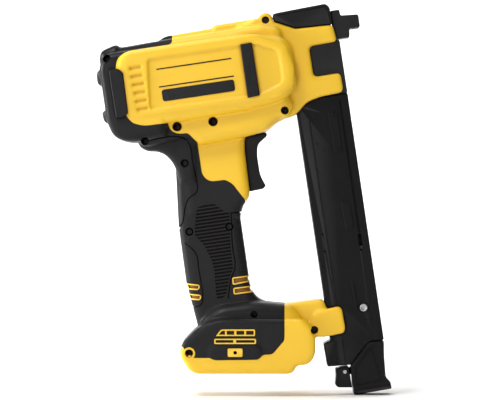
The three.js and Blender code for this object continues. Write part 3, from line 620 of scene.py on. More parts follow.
SIDES = {"right": (-1, "low"), "left": (1, "high")}  # each side's sign, and which cap of a slab faces out there
HOOK_SOCKET = [(-10, 14.4, 1), (2.4, 14.4, 1), (2.4, 21.4, 1), (-10, 21.4, 1)]
HOOK_SOCKET_HALF = 38.8
pads = {}
for kind, corners, half, rim, place in (
    ("side_pad", SIDE_PAD, PAD_HALF, 0.9, drive),
    ("corner_pad", CORNER_PAD, PAD_HALF, 0.9, drive),
    ("hook_socket", HOOK_SOCKET, HOOK_SOCKET_HALF, 0.5, foot),
):
    for side, (sign, facing) in SIDES.items():
        reach = sorted((sign * PAD_SEAT, sign * half))
        pads[kind, side] = slab(f"{kind}_{side}", corners, *reach, place, caps=facing, rim=rim)
        if kind == "hook_socket":
            cut(pads[kind, side], bar("hole", -3.8, 17.9, 1.5, -FAR, FAR, foot, sides=24))
        pocket = slab("pocket", without_radii(corners), *sorted((sign * PAD_SEAT, sign * FAR)), place)
        cut(body, grown(pocket, SEAM / 2))

# The yellow shell has a lip that reaches in under the dark pieces, so that no light comes through between them.
lip = common(copied(skin_base, "lip"), yellow_space(LIP))
lip_room = common(skin_rib, yellow_space(LIP + SEAM))
yellow = common(copied(body, "yellow"), united(yellow_space(0), lip))
dark = cut(body, yellow_space(SEAM), lip_room)
CAP_GAP = 0.1
cap_space = slab("cap_space", CAP_SPACE, -FAR, FAR)
motor_cap = common(copied(dark, "motor_cap"), cap_space, keep=True)
grip = cut(dark, grown(cap_space, CAP_GAP))
shells = {}
WHOLES = {"shell": yellow, "grip": grip, "accent_rims": accent_rims, "accent_floors": accent_floors}
for kind, whole in WHOLES.items():
    for side in SIDES:
        shells[kind, side] = one_side(whole, side, f"{kind}_{side}")
for spare in (*WHOLES.values(), skin_groove, skin_base):
    bpy.data.objects.remove(spare)

# ---- Pieces screwed, clipped and pressed on ----
SCREW_HEAD = 2.85


def screw(name):
    """A pan head with a six-sided socket on a shank, lying across the tool at the drive plane's origin."""
    head = bar(name, 0, 0, SCREW_HEAD, -12.6, -10.3, sides=40)
    edit(head)
    front = min(v.co.y for v in head.data.vertices)
    choose("FACE", lambda f: f.normal.y < -0.9 and f.calc_center_median().y < front + 1e-5)
    bpy.ops.mesh.inset(thickness=0.7 * MM, depth=0.45 * MM)
    bpy.ops.mesh.inset(thickness=0.3 * MM, depth=0)
    deselect()
    united(head, bar("shank", 0, 0, 1.6, -10.6, 8, sides=24))
    cut(head, bar("socket", 0, 0, 1.3, -14, -11.2, sides=6))
    return rounded_edges(head, 0.12, angle=30)


one_screw = screw("screw")
screws = {}
for key, (place, a, b, _) in SCREWS.items():
    screws[key] = copied(one_screw, f"case_screw_{key}")
    take(screws[key])
    screws[key].location = place(a, b) - drive(0, 0)
    bpy.ops.object.transform_apply(location=True)
bpy.data.objects.remove(one_screw)

LABEL = [(-129.3, -34.5, 2), (-68.8, -34.5, 2), (-68.8, -44.1, 2), (-129.3, -44.1, 2)]
LABEL_SEAT = 36.1
LABEL_FACE = 36.75
STRIPE_FACE = LABEL_FACE - 0.2
STRIPES = [
    [(-130.8, -17.55), (-68.3, -17.55), (-68.3, -16.55), (-130.8, -16.55)],
    [(-130.8, -32.3), (-68.3, -32.3), (-68.3, -31.3), (-130.8, -31.3)],
]
labels, stripes = {}, {}
for side, (sign, facing) in SIDES.items():
    reach = sorted((sign * LABEL_SEAT, sign * LABEL_FACE))
    labels[side] = slab(f"label_{side}", LABEL, *reach, caps=facing, rim=0.3)
    reach = sorted((sign * LABEL_SEAT, sign * STRIPE_FACE))
    stripes[side] = joined(*[
        slab(f"stripes_{side}", corners, *reach, caps=facing, rim=0.15) for corners in STRIPES
    ])

# The trim round the vents of the foot: a bright plate with its windows cut out, over the dark rubber.
UPPER_TRIM = [(-19.8, 31.6), (-15.4, 37.1, 1), (12.6, 37.1, 1), (12.6, 31.6, 1)]
UPPER_WINDOWS = [
    [(-17.6, 32.7), (-14.8, 35.9), (-12.2, 35.9), (-12.2, 32.7)],
    [(-10.8, 32.7), (-10.8, 35.9), (-4.6, 35.9), (-4.6, 32.7)],
    [(-2.8, 32.7), (-2.8, 35.9), (3.6, 35.9), (3.6, 32.7)],
    [(5.2, 32.7), (5.2, 35.9), (11.4, 35.9), (11.4, 32.7)],
]
LOWER_TRIM = [(-21.2, 25, 1), (-21.2, 29.4, 1), (13.4, 29.4, 1), (13.4, 25, 1)]
LOWER_WINDOWS = [
    [(-20, 26.1), (-20, 28.3), (-5.4, 28.3), (-5.4, 26.1)],
    [(-3, 26.1), (-3, 28.3), (12.2, 28.3), (12.2, 26.1)],
]
TRIM_SEAT = 36.6
TRIM_FACE = 37.5
trims = {}
for side, (sign, _) in SIDES.items():
    reach = sorted((sign * TRIM_SEAT, sign * TRIM_FACE))
    plates = [slab(f"vent_trim_{side}", trim, *reach, foot) for trim in (UPPER_TRIM, LOWER_TRIM)]
    for plate, windows in zip(plates, (UPPER_WINDOWS, LOWER_WINDOWS)):
        for window in windows:
            cut(plate, slab("window", window, -FAR, FAR, foot))
    trims[side] = rounded_edges(joined(*plates), 0.15, angle=30)

# ---- Nose ----
BLADE_HALF = 6.9
BLADE_THICK = 1.3


def blade_way():
    return block("blade_way", -60, 60, -BLADE_THICK, BLADE_THICK, -BLADE_HALF, BLADE_HALF)


NOSE = [
    (-28.7, -12), (-21, -12), (-20.9, -58), (23.6, -58), (23.4, -13.6, 1.5), (12.6, -13.6), (12.6, 7.6),
    (-28.7, 7.6),
]
NOSE_RIB = [(-14, -18, 1), (-9, -18, 1), (-9, -56, 1), (-14, -56, 1)]
nose = slab("nose", NOSE, -MAGAZINE_HALF, MAGAZINE_HALF)
united(nose, slab("nose_rib", NOSE_RIB, -14.2, 14.2))
rounded_edges(nose, 1, segments=3)
cut(nose, blade_way(), block("staple_way", -8, 18.6, -59, 1.3, -7.6, 7.6))

TRIP = [
    (19.6, -12.7), (32.2, -12.7, 1), (33.2, -5.6, 1), (42.2, -5.6, 1.5), (42.2, 5.4, 1.5), (27.4, 6.6, 1),
    (27, 11.6, 1), (19.6, 11.6),
]
trip = slab("nose_trip", TRIP, -10, 10)
rounded_edges(trip, 0.7, segments=3)
united(trip, block("stem", -14, 20.6, 8.4, 11.6, -4, 4))
cut(trip, blade_way(), block("fork", 35, 60, -20, 20, -4.4, 4.4))
for side in (-1, 1):
    cut(trip, bar("trip_dimple", 25.6, 2.2, 1.4, *sorted((side * 9.3, side * 12)), sides=24))

COVER = [(-29, 15.2), (-26, 15.9, 2), (16.2, 17.7, 2), (19, 14, 1), (19.2, 0), (-11.4, 1.2), (-27.6, 8.9)]
COVER_LINE = [
    (-25, 13.4), (14.6, 14.9), (16.8, 11.6), (17.6, 0), (18.1, 0), (17.3, 11.9), (14.9, 15.5), (-25, 14),
]
cover = slab("nose_cover", COVER, 1.5 - FRONT_HALF, FRONT_HALF - 1.5)
rounded_edges(cover, 1.3, segments=3)
cut(
    cover,
    block("cover_well", -28, 30, -5, 12.3, -CHANNEL_HALF, CHANNEL_HALF),
    block("stem_slot", -40, 30, 5, 13.4, -5, 5),
    bar("boss_gap", -35.4, 10.6, 7.2, -FAR, FAR, sides=48),
)
cover_line = slab("cover_line", COVER_LINE, -FAR, FAR)
cut(cover_line, block("cover_core", -30, 30, -10, 30, -17.9, 17.9))
cut(cover, cover_line)

# ---- Magazine ----
MAGAZINE = [
    (-20.9, -58.3), (23.6, -58.3), (23.6, -267.2), (10.8, -266.2, 4), (-7, -283.6), (-26.4, -282.4),
    (-26.8, -262.8, 1), (-20.9, -261, 1),
]
magazine = slab("magazine_shell", MAGAZINE, -MAGAZINE_HALF, MAGAZINE_HALF)
rounded_edges(magazine, 1.5, segments=4)
RIDGES = [
    [(-12.1, -77), (-11, -77), (-11, -231), (-12.1, -231)],
    [(14.6, -234), (15.6, -234), (15.6, -263), (14.6, -263)],
    [(-17, -262), (-16.2, -262), (-16.2, -281.6), (-17, -281.6)],
    [(-11.4, -262), (-10.6, -262), (-10.6, -281.6), (-11.4, -281.6)],
]
for corners in RIDGES:
    united(magazine, slab("ridge_line", corners, -14.5, 14.5, rim=0.35, drop=0.4))
HUMPS = [
    [(4.6, -72, 2), (12.6, -73, 2), (12.6, -105, 2), (5.4, -106.4, 2)],
    [(4.6, -148, 2), (12.4, -149, 2), (12.4, -171, 2), (5.4, -172.4, 2)],
    [(3.4, -214, 0.8), (5.8, -214, 0.8), (5.8, -238, 0.8), (3.4, -238, 0.8)],
]
for corners in HUMPS:
    united(magazine, slab("hump", corners, -14.6, 14.6, rim=0.7, drop=0.55))
GROOVES = [  # each with its depth
    ([(15.4, -64), (17.2, -64), (17.2, -175), (15.4, -175)], 0.8),
    ([(14.6, -176.4, 0.6), (17.6, -176.4, 0.6), (17.6, -186.4, 0.6), (14.6, -186.4, 0.6)], 2.4),
]
for corners, depth in GROOVES:
    for side in (-1, 1):
        cut(magazine, slab("groove", corners, *sorted((side * (MAGAZINE_HALF - depth), side * FAR))))
RIVET_HOLES = [(15.7, -189.9), (-14.3, -172.3), (-14.4, -186.9), (-16.6, -66)]
for u, w in RIVET_HOLES:
    for side in (-1, 1):
        cut(magazine, bar("rivet_hole", u, w, 0.9, *sorted((side * 12.6, side * FAR)), sides=20))
MAGAZINE_BOLT = (10.6, -237.8)
cut(
    magazine,
    block("tray_way", -17.5, 20.5, -300, -57, -10.5, 10.5),
    bar("bolt_way", *MAGAZINE_BOLT, 1.8, -20, -5, sides=24),
)
magazine_bolt = bar("magazine_bolt", *MAGAZINE_BOLT, 3.1, -15.7, -14.3, sides=40)
edit(magazine_bolt)
choose("FACE", lambda f: f.normal.y < -0.9)
bpy.ops.mesh.inset(thickness=0.9 * MM, depth=0)
bpy.ops.mesh.inset(thickness=0.25 * MM, depth=-0.5 * MM)
bpy.ops.mesh.inset(thickness=0.6 * MM, depth=0)
bpy.ops.mesh.inset(thickness=0.1 * MM, depth=-0.7 * MM)
deselect()
united(magazine_bolt, bar("bolt_shank", *MAGAZINE_BOLT, 1.5, -15, -11, sides=24))
rounded_edges(magazine_bolt, 0.15, angle=30)

END_GRIP = [
    (23.4, -267.8), (10.8, -266.8, 4), (-7, -284.3), (-7.9, -309, 1), (24, -308.3, 1), (23.8, -302.7, 1),
    (20.5, -298, 2), (21.8, -280, 2),
]
END_RECESS = [(-4, -287, 2), (10, -272, 2), (12.6, -272.6, 1), (17, -300, 2), (-5, -302, 2)]
END_LIP = [(-7.6, -308.6), (-7.4, -305.8, 0.8), (22.4, -305.2, 0.8), (23.6, -307.9)]
grip_end = slab("end_handle", END_GRIP, -MAGAZINE_HALF, MAGAZINE_HALF)
rounded_edges(grip_end, 1.1, segments=3)
for sign, facing in SIDES.values():
    cut(grip_end, slab("end_recess", END_RECESS, *sorted((sign * 13.3, sign * FAR))))
    united(grip_end, slab("end_lip", END_LIP, *sorted((sign * 12.9, sign * 14.6)), caps=facing, rim=0.6))
united(grip_end, block("latch_ear", -15, -6, -292, -286, -4.2, 4.2))
cut(
    grip_end,
    block("tray_seat", -17.2, 20.5, -265.7, -200, -10.5, 10.5),
    bar("latch_bore", *LATCH_AT, 1.8, -20, 20),
)

LATCH = [
    (-20, -285.2, 1), (-14.6, -284.6, 1), (-8.8, -284.8, 1), (-8.3, -302.8), (-20.4, -301, 1.5), (-22, -298.4, 0.5),
    (-20.4, -291),
]
latch = slab("end_latch", LATCH, -10, 10)
rounded_edges(latch, 0.6, segments=3)
for step in range(5):
    cut(latch, bar("latch_groove", -21 - 0.36 * step, -290.6 - 1.9 * step, 0.55, -FAR, FAR, sides=16))
cut(latch, block("latch_notch", -16.5, -5, -295, -280, -4.6, 4.6), bar("latch_bore", *LATCH_AT, 1.8, -20, 20))

TRIGGER = [
    (-8, 151), (8.4, 151.2, 1), (19.5, 153.4, 1), (21.8, 156, 1), (17, 164.5, 4), (14.3, 182, 4), (15, 191, 3),
    (22.7, 197.6, 1), (22.3, 200.6, 1), (9, 198.6, 2), (-4, 201, 3), (-8, 190),
]
finger = slab("finger_trigger", TRIGGER, -9.5, 9.5, foot, rim=1, steps=3)
cut(finger, bar("trigger_bore", *TRIGGER_AT, 1.9, -20, 20, foot))

# ---- Materials ----
def moulded(name, colour, shade, roughness, grain, depth, specular=0.5, wear_and_highlight=0.25, light=None):
    """Moulded plastic or rubber: drifts of tone, a spark-etched grain, small scuffs, paler edges that are partly
    rubbed and partly a painted highlight, and painted shade in the grooves and seams.
    """
    material = bpy.data.materials.new(name)
    material.use_nodes = True
    nodes, links = material.node_tree.nodes, material.node_tree.links
    nodes.clear()
    output = nodes.new("ShaderNodeOutputMaterial")
    output.label = "Output"
    shader = nodes.new("ShaderNodeBsdfPrincipled")
    shader.label = "Moulded surface"
    place = nodes.new("ShaderNodeTexCoord")
    place.label = "Object coordinates"
    links.new(shader.outputs["BSDF"], output.inputs["Surface"])

    drift = nodes.new("ShaderNodeTexNoise")
    drift.label = "Broad drift"
    drift.inputs["Scale"].default_value = 28
    drift.inputs["Detail"].default_value = 3
    links.new(place.outputs["Object"], drift.inputs["Vector"])
    tone = nodes.new("ShaderNodeMix")
    tone.label = "Tone"
    tone.data_type = "RGBA"
    tone.inputs["A"].default_value = (*colour, 1)
    tone.inputs["B"].default_value = (*shade, 1)
    links.new(drift.outputs["Fac"], tone.inputs["Factor"])

    # Paler edges: partly rubbed, and partly a painted highlight in a pale colour where edges would catch the light.
    edges = nodes.new("ShaderNodeNewGeometry")
    edges.label = "Edges"
    edge_ramp = nodes.new("ShaderNodeMapRange")
    edge_ramp.label = "Worn edges and painted highlight"
    edge_ramp.inputs["From Min"].default_value = 0.53
    edge_ramp.inputs["From Max"].default_value = 0.62
    edge_ramp.inputs["To Min"].default_value = 0
    edge_ramp.inputs["To Max"].default_value = wear_and_highlight
    links.new(edges.outputs["Pointiness"], edge_ramp.inputs["Value"])
    worn_and_highlit = nodes.new("ShaderNodeMix")
    worn_and_highlit.label = "Paler at the edges"
    worn_and_highlit.data_type = "RGBA"
    worn_and_highlit.inputs["B"].default_value = (*(light or [min(1, c * 1.5 + 0.02) for c in colour]), 1)
    links.new(edge_ramp.outputs["Result"], worn_and_highlit.inputs["Factor"])
    links.new(tone.outputs["Result"], worn_and_highlit.inputs["A"])

    # Painted shade: ambient occlusion darkens the colour to a deep brown in grooves, seams and recesses, and lowers
    # the glint there.
    hollow_shade = nodes.new("ShaderNodeAmbientOcclusion")
    hollow_shade.label = "Grooves and seams"
    hollow_shade.samples = 8
    hollow_shade.inputs["Distance"].default_value = 0.0035
    openness = nodes.new("ShaderNodeMapRange")
    openness.label = "How open"
    openness.inputs["From Min"].default_value = 0.35
    openness.inputs["From Max"].default_value = 0.95
    links.new(hollow_shade.outputs["AO"], openness.inputs["Value"])
    painted_groove_shade = nodes.new("ShaderNodeMix")
    painted_groove_shade.label = "Painted shade in the grooves"
    painted_groove_shade.data_type = "RGBA"
    painted_groove_shade.inputs["A"].default_value = (shade[0] * 0.5, shade[1] * 0.3, shade[2] * 0.2, 1)
    links.new(openness.outputs["Result"], painted_groove_shade.inputs["Factor"])
    links.new(worn_and_highlit.outputs["Result"], painted_groove_shade.inputs["B"])
    links.new(painted_groove_shade.outputs["Result"], shader.inputs["Base Color"])
    glint = nodes.new("ShaderNodeMath")
    glint.label = "Less glint in the grooves"
    glint.operation = "MULTIPLY"
    glint.inputs[1].default_value = specular
    links.new(openness.outputs["Result"], glint.inputs[0])
    links.new(glint.outputs["Value"], shader.inputs["Specular IOR Level"])

    etched = nodes.new("ShaderNodeTexNoise")
    etched.label = "Etched grain"
    etched.inputs["Scale"].default_value = grain
    etched.inputs["Detail"].default_value = 4
    etched.inputs["Roughness"].default_value = 0.6
    links.new(place.outputs["Object"], etched.inputs["Vector"])
    scuffs = nodes.new("ShaderNodeTexNoise")
    scuffs.label = "Handling marks"
    scuffs.inputs["Scale"].default_value = 90
    scuffs.inputs["Detail"].default_value = 6
    scuffs.inputs["Distortion"].default_value = 1.2
    links.new(place.outputs["Object"], scuffs.inputs["Vector"])
    gloss = nodes.new("ShaderNodeMapRange")
    gloss.label = "Gloss varies"
    gloss.inputs["From Min"].default_value = 0.3
    gloss.inputs["From Max"].default_value = 0.7
    gloss.inputs["To Min"].default_value = roughness - 0.05
    gloss.inputs["To Max"].default_value = roughness + 0.07
    links.new(scuffs.outputs["Fac"], gloss.inputs["Value"])
    links.new(gloss.outputs["Result"], shader.inputs["Roughness"])
    relief = nodes.new("ShaderNodeBump")
    relief.label = "Grain relief"
    relief.inputs["Strength"].default_value = 0.5
    relief.inputs["Distance"].default_value = depth
    links.new(etched.outputs["Fac"], relief.inputs["Height"])
    links.new(relief.outputs["Normal"], shader.inputs["Normal"])

    for node, location in (
        (output, (900, 0)), (shader, (600, 0)), (place, (-1100, 0)), (drift, (-850, 350)),
        (tone, (-550, 350)), (edges, (-850, 700)), (edge_ramp, (-550, 700)), (worn_and_highlit, (-200, 450)),
        (hollow_shade, (-550, 1000)), (openness, (-200, 1000)), (painted_groove_shade, (200, 450)), (glint, (200, 750)),
        (etched, (-850, -100)), (scuffs, (-850, -400)), (gloss, (-550, -350)), (relief, (200, -250)),
    ):
        node.location = location
    colour_frame = nodes.new("NodeFrame")
    colour_frame.label = "Colour"
    for node in (drift, tone, edges, edge_ramp, worn_and_highlit):
        node.parent = colour_frame
    grooves_frame = nodes.new("NodeFrame")
    grooves_frame.label = "Grooves and seams"
    for node in (hollow_shade, openness, painted_groove_shade, glint):
        node.parent = grooves_frame
    grain_frame = nodes.new("NodeFrame")
    grain_frame.label = "Grain and gloss"
    for node in (etched, scuffs, gloss, relief):
        node.parent = grain_frame
    return material


def worked_metal(name, colour, tarnish, roughness, stretch, metallic=1.0):
    """Drawn or ground metal: fine streaks along the drive line, cloudy tarnish, and a gloss to match."""
    material = bpy.data.materials.new(name)
    material.use_nodes = True
    nodes, links = material.node_tree.nodes, material.node_tree.links
    nodes.clear()
    output = nodes.new("ShaderNodeOutputMaterial")
    output.label = "Output"
    shader = nodes.new("ShaderNodeBsdfPrincipled")
    shader.label = "Metal surface"
    place = nodes.new("ShaderNodeTexCoord")
    place.label = "Object coordinates"
    links.new(shader.outputs["BSDF"], output.inputs["Surface"])
    shader.inputs["Metallic"].default_value = metallic

    turned = nodes.new("ShaderNodeMapping")
    turned.label = "Streaks along the drive"
    turned.inputs["Rotation"].default_value = (0, LEAN, 0)
    turned.inputs["Scale"].default_value = (stretch, 900, 900)
    links.new(place.outputs["Object"], turned.inputs["Vector"])
    streaks = nodes.new("ShaderNodeTexNoise")
    streaks.label = "Grinding streaks"
    streaks.inputs["Scale"].default_value = 1
    streaks.inputs["Detail"].default_value = 5
    links.new(turned.outputs["Vector"], streaks.inputs["Vector"])
    clouds = nodes.new("ShaderNodeTexNoise")
    clouds.label = "Tarnish"
    clouds.inputs["Scale"].default_value = 70
    clouds.inputs["Detail"].default_value = 5
    links.new(place.outputs["Object"], clouds.inputs["Vector"])
    tint = nodes.new("ShaderNodeMix")
    tint.label = "Tarnished colour"
    tint.data_type = "RGBA"
    tint.inputs["A"].default_value = (*colour, 1)
    tint.inputs["B"].default_value = (*tarnish, 1)
    links.new(clouds.outputs["Fac"], tint.inputs["Factor"])
    links.new(tint.outputs["Result"], shader.inputs["Base Color"])
    gloss = nodes.new("ShaderNodeMapRange")
    gloss.label = "Gloss along the streaks"
    gloss.inputs["From Min"].default_value = 0.25
    gloss.inputs["From Max"].default_value = 0.75
    gloss.inputs["To Min"].default_value = roughness - 0.08
    gloss.inputs["To Max"].default_value = roughness + 0.1
    links.new(streaks.outputs["Fac"], gloss.inputs["Value"])
    links.new(gloss.outputs["Result"], shader.inputs["Roughness"])
    relief = nodes.new("ShaderNodeBump")
    relief.label = "Streak relief"
    relief.inputs["Strength"].default_value = 0.25
    relief.inputs["Distance"].default_value = 0.00004
    links.new(streaks.outputs["Fac"], relief.inputs["Height"])
    links.new(relief.outputs["Normal"], shader.inputs["Normal"])
    for node, location in (
        (output, (900, 0)), (shader, (600, 0)), (place, (-1100, 0)), (turned, (-900, -150)),
        (streaks, (-700, -150)), (clouds, (-700, 250)), (tint, (-350, 250)), (gloss, (-350, -50)),
        (relief, (-50, -300)),
    ):
        node.location = location
    colour_frame = nodes.new("NodeFrame")
    colour_frame.label = "Colour"
    for node in (clouds, tint):
        node.parent = colour_frame
    grinding_frame = nodes.new("NodeFrame")
    grinding_frame.label = "Grinding"
    for node in (turned, streaks, gloss, relief):
        node.parent = grinding_frame
    return material


def circuit_board():
    """Green lacquer over copper tracks, which show as a darker tone and a low relief."""
    material = bpy.data.materials.new("circuit_board")
    material.use_nodes = True
    nodes, links = material.node_tree.nodes, material.node_tree.links
    nodes.clear()
    output = nodes.new("ShaderNodeOutputMaterial")
    output.label = "Output"
    shader = nodes.new("ShaderNodeBsdfPrincipled")
    shader.label = "Lacquer"
    place = nodes.new("ShaderNodeTexCoord")
    place.label = "Object coordinates"
    links.new(shader.outputs["BSDF"], output.inputs["Surface"])
    tracks = nodes.new("ShaderNodeTexBrick")
    tracks.label = "Tracks"
    tracks.inputs["Scale"].default_value = 160
    tracks.inputs["Color1"].default_value = (0.012, 0.085, 0.03, 1)
    tracks.inputs["Color2"].default_value = (0.01, 0.06, 0.024, 1)
    tracks.inputs["Mortar"].default_value = (0.03, 0.15, 0.05, 1)
    tracks.inputs["Mortar Size"].default_value = 0.05
    links.new(place.outputs["Object"], tracks.inputs["Vector"])
    links.new(tracks.outputs["Color"], shader.inputs["Base Color"])
    dust = nodes.new("ShaderNodeTexNoise")
    dust.label = "Dust"
    dust.inputs["Scale"].default_value = 400
    links.new(place.outputs["Object"], dust.inputs["Vector"])
    gloss = nodes.new("ShaderNodeMapRange")
    gloss.label = "Gloss under dust"
    gloss.inputs["To Min"].default_value = 0.25
    gloss.inputs["To Max"].default_value = 0.55
    links.new(dust.outputs["Fac"], gloss.inputs["Value"])
    links.new(gloss.outputs["Result"], shader.inputs["Roughness"])
    relief = nodes.new("ShaderNodeBump")
    relief.label = "Track relief"
    relief.inputs["Distance"].default_value = 0.00005
    links.new(tracks.outputs["Fac"], relief.inputs["Height"])
    links.new(relief.outputs["Normal"], shader.inputs["Normal"])
    for node, location in (
        (output, (900, 0)), (shader, (600, 0)), (place, (-1100, 0)), (tracks, (-700, 200)),
        (dust, (-700, -150)), (gloss, (-400, -150)), (relief, (200, -200)),
    ):
        node.location = location
    tracks_frame = nodes.new("NodeFrame")
    tracks_frame.label = "Tracks"
    for node in (tracks, relief):
        node.parent = tracks_frame
    dust_frame = nodes.new("NodeFrame")
    dust_frame.label = "Dust"
    for node in (dust, gloss):
        node.parent = dust_frame
    return material


def paper():
    """Matt white paper, a little uneven in its gloss."""
    material = bpy.data.materials.new("paper")
    material.use_nodes = True
    nodes, links = material.node_tree.nodes, material.node_tree.links
    nodes.clear()
    output = nodes.new("ShaderNodeOutputMaterial")
    output.label = "Output"
    shader = nodes.new("ShaderNodeBsdfPrincipled")
    shader.label = "Paper surface"
    place = nodes.new("ShaderNodeTexCoord")
    place.label = "Object coordinates"
    links.new(shader.outputs["BSDF"], output.inputs["Surface"])
    shader.inputs["Base Color"].default_value = (0.94, 0.94, 0.94, 1)
    fibres = nodes.new("ShaderNodeTexNoise")
    fibres.label = "Paper fibres"
    fibres.inputs["Scale"].default_value = 300
    links.new(place.outputs["Object"], fibres.inputs["Vector"])
    gloss = nodes.new("ShaderNodeMapRange")
    gloss.label = "Matt"
    gloss.inputs["To Min"].default_value = 0.85
    gloss.inputs["To Max"].default_value = 0.95
    links.new(fibres.outputs["Fac"], gloss.inputs["Value"])
    links.new(gloss.outputs["Result"], shader.inputs["Roughness"])
    for node, location in (
        (output, (900, 0)), (shader, (600, 0)), (place, (-1100, 0)), (fibres, (-700, 0)),
        (gloss, (-400, 0)),
    ):
        node.location = location
    paper_frame = nodes.new("NodeFrame")
    paper_frame.label = "Paper"
    for node in (fibres, gloss):
        node.parent = paper_frame
    return material


# The pale edge colours given here are partly rubbed edges and partly a painted highlight.
YELLOW = moulded(
    "yellow_shell", (0.9, 0.56, 0.022), (0.84, 0.5, 0.016), 0.4, 1500, 0.00004, wear_and_highlight=0.35, light=(0.97, 0.72, 0.14),
)
BLACK = moulded(
    "black_plastic", (0.008, 0.008, 0.009), (0.013, 0.013, 0.014), 0.36, 1600, 0.00005, 0.16, 0.3,
    (0.06, 0.06, 0.062),
)
RUBBER = moulded(
    "rubber", (0.009, 0.009, 0.01), (0.014, 0.014, 0.015), 0.42, 1100, 0.00007, 0.17, 0.25, (0.05, 0.05, 0.05),
)
SATIN = moulded(
    "satin_black", (0.006, 0.006, 0.0066), (0.01, 0.01, 0.011), 0.32, 2200, 0.00003, 0.11, 0.35,
    (0.07, 0.07, 0.072),
)
ACCENT = moulded(
    "accent_yellow", (0.9, 0.56, 0.05), (0.85, 0.48, 0.03), 0.35, 1800, 0.00003, wear_and_highlight=0.4, light=(1, 0.8, 0.3),
)
ACCENT_DARK = moulded("accent_amber", (0.42, 0.17, 0.01), (0.1, 0.04, 0.008), 0.35, 900, 0.00006, wear_and_highlight=0.2)
PRINT = moulded("printed_label", (0.006, 0.006, 0.007), (0.01, 0.01, 0.011), 0.3, 2600, 0.00002, 0.25, wear_and_highlight=0.1)
BLACK_STEEL = worked_metal("black_steel", (0.018, 0.018, 0.02), (0.034, 0.033, 0.032), 0.4, 60, metallic=0.8)
STEEL = worked_metal("steel", (0.56, 0.56, 0.57), (0.36, 0.35, 0.34), 0.3, 40)
BRASS = worked_metal("brass", (0.66, 0.45, 0.16), (0.42, 0.27, 0.09), 0.3, 60)
ALUMINIUM = worked_metal("aluminium", (0.72, 0.73, 0.75), (0.5, 0.51, 0.53), 0.38, 90)
BOARD = circuit_board()

# ---- Each piece's body and finish ----
PLAIN_PIECE = 5000  # pieces with fewer faces have long flats, whose shading is kept flat


def finished(piece, material, node=None, body_name="housing"):
    """Gives a piece its finish, hides the CAD node it stands for, and puts it on the body that carries it."""
    soften(piece, 32)
    if len(piece.data.polygons) < PLAIN_PIECE:
        apply(piece, "WEIGHTED_NORMAL", keep_sharp=True)
    piece.data.materials.clear()
    piece.data.materials.append(material)
    if node:
        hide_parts(node)
    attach(piece, body_name)


for side in SIDES:
    finished(shells["shell", side], YELLOW, f"housing_{side}")
    finished(shells["grip", side], RUBBER, f"grip_overmould_{side}")
    finished(shells["accent_rims", side], ACCENT)
    finished(shells["accent_floors", side], ACCENT_DARK)
    finished(pads["side_pad", side], RUBBER, f"side_bumper_{side}")
    finished(pads["corner_pad", side], RUBBER, f"corner_bumper_{side}")
    finished(pads["hook_socket", side], YELLOW, f"hook_insert_{side}")
    finished(labels[side], PRINT)
    finished(stripes[side], PRINT)
    finished(trims[side], YELLOW)
finished(motor_cap, BLACK, "rear_cap")
for key, piece in screws.items():
    finished(piece, BLACK_STEEL, f"screw_{key}")
finished(nose, BLACK_STEEL, "nose_frame")
finished(trip, BLACK_STEEL, "contact_trip", "contact_trip")
finished(cover, BLACK, "top_cover")
finished(magazine, SATIN, "magazine_body")
finished(magazine_bolt, STEEL, "magazine_screw")
finished(grip_end, SATIN, "end_grip", "magazine_tray")
finished(latch, SATIN, "magazine_latch", "magazine_latch")
finished(finger, BLACK, "trigger", "trigger")

FINISHES = [  # the CAD nodes that show inside, by finish
    (STEEL, (
        "magazine_tray", "pusher_spring", "latch_pin", "trigger_pin", "cradle_pin", "flywheel", "flywheel_axle",
        "flywheel_bearing_right", "flywheel_bearing_left", "guide_rod_right", "guide_rod_left", "driver",
        "solenoid_plunger",
    )),
    (BRASS, ("battery_terminal_1", "battery_terminal_2", "battery_terminal_3")),
    (BLACK, ("pusher", "trigger_switch", "terminal_block")),
    (BLACK_STEEL, ("motor_stator", "solenoid")),
    (ALUMINIUM, ("drive_frame", "motor_cradle")),
    (BOARD, ("control_board",)),
    (RUBBER, ("stop_bumper",)),
]
cad_nodes = {item["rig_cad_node"]: item for item in bpy.data.objects if "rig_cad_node" in item}


def live_spring(node, name):
    """A spring made from a copy of its CAD node, set in world place, finished in steel and carried by the housing.
    """
    spring = copied(cad_nodes[node], name)
    for key in list(spring.keys()):
        del spring[key]
    world_place = spring.matrix_world.copy()
    spring.parent = None
    spring.matrix_world = world_place
    take(spring)
    bpy.ops.object.transform_apply(location=True, rotation=True, scale=True)
    edit(spring)
    bpy.ops.mesh.remove_doubles(threshold=SAME_PLACE)
    outward()
    deselect()
    finished(spring, STEEL, node)
    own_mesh(spring)


live_spring("trip_spring", "live_trip_spring")
for side, (sign, _) in SIDES.items():
    live_spring(f"return_spring_{side}", f"live_return_spring_{side}")
live_spring("trigger_spring", "live_trigger_spring")

for material, names in FINISHES:
    for name in names:
        cad_nodes[name].data.materials.clear()
        cad_nodes[name].data.materials.append(material)

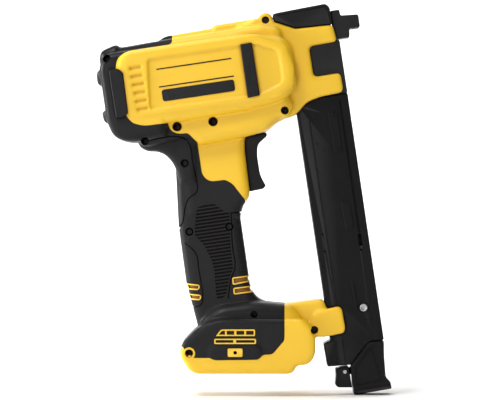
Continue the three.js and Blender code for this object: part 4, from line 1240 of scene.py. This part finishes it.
# ---- The studio ----
scene = bpy.context.scene
MIDDLE = Vector((0.0048, 0, 0.1629))
CAMERA_FAR = 2.333
camera = bpy.data.objects.new("camera", bpy.data.cameras.new("camera"))
scene.collection.objects.link(camera)
camera.location = MIDDLE - Vector((0, CAMERA_FAR, 0))
camera.rotation_euler = (math.pi / 2, 0, 0)
camera.data.lens = 200
camera.data.sensor_width = 36
scene.camera = camera

# The floor rises into the backdrop in one sweep.
deselect()
bpy.ops.mesh.primitive_plane_add(size=6, location=(0, 0.4, 0))
backdrop = bpy.context.object
backdrop.name = "backdrop"
edit(backdrop)
choose("EDGE", lambda e: all(v.co.y > 2.9 for v in e.verts))
bpy.ops.mesh.extrude_region_move(TRANSFORM_OT_translate={"value": (0, 0, 3.5)})
choose("EDGE", lambda e: all(v.co.y > 2.9 and v.co.z < 0.1 for v in e.verts))
bpy.ops.mesh.bevel(offset=1.6, segments=24)
deselect()
bpy.ops.object.transform_apply(location=True)
soften(backdrop, 60)
backdrop.data.materials.append(paper())


def lamp(name, place, size, power, aim=MIDDLE):
    """A soft square lamp that looks at the tool, or at another point."""
    light = bpy.data.lights.new(name, "AREA")
    light.shape = "SQUARE"
    light.size = size
    light.energy = power
    item = bpy.data.objects.new(name, light)
    scene.collection.objects.link(item)
    item.location = place
    item.rotation_euler = (Vector(aim) - Vector(place)).to_track_quat("-Z", "Y").to_euler()


lamp("key", (-0.8, -1.1, 2.2), 0.6, 31)
lamp("front", (-0.6, -2.2, 0.5), 0.7, 8)
lamp("rim", (-1.6, -0.1, 0.5), 0.6, 36)
lamp("top", (0.3, 0.4, 2.0), 0.7, 6)
lamp("wash", (0, 1.5, 2.2), 2.4, 85, aim=(0, 3.2, 0.5))
world = bpy.data.worlds.new("studio")
scene.world = world
world.use_nodes = True
world.node_tree.nodes["Background"].inputs["Color"].default_value = (1, 1, 1, 1)
world.node_tree.nodes["Background"].inputs["Strength"].default_value = 0.2
scene.view_settings.view_transform = "Standard"

deselect()
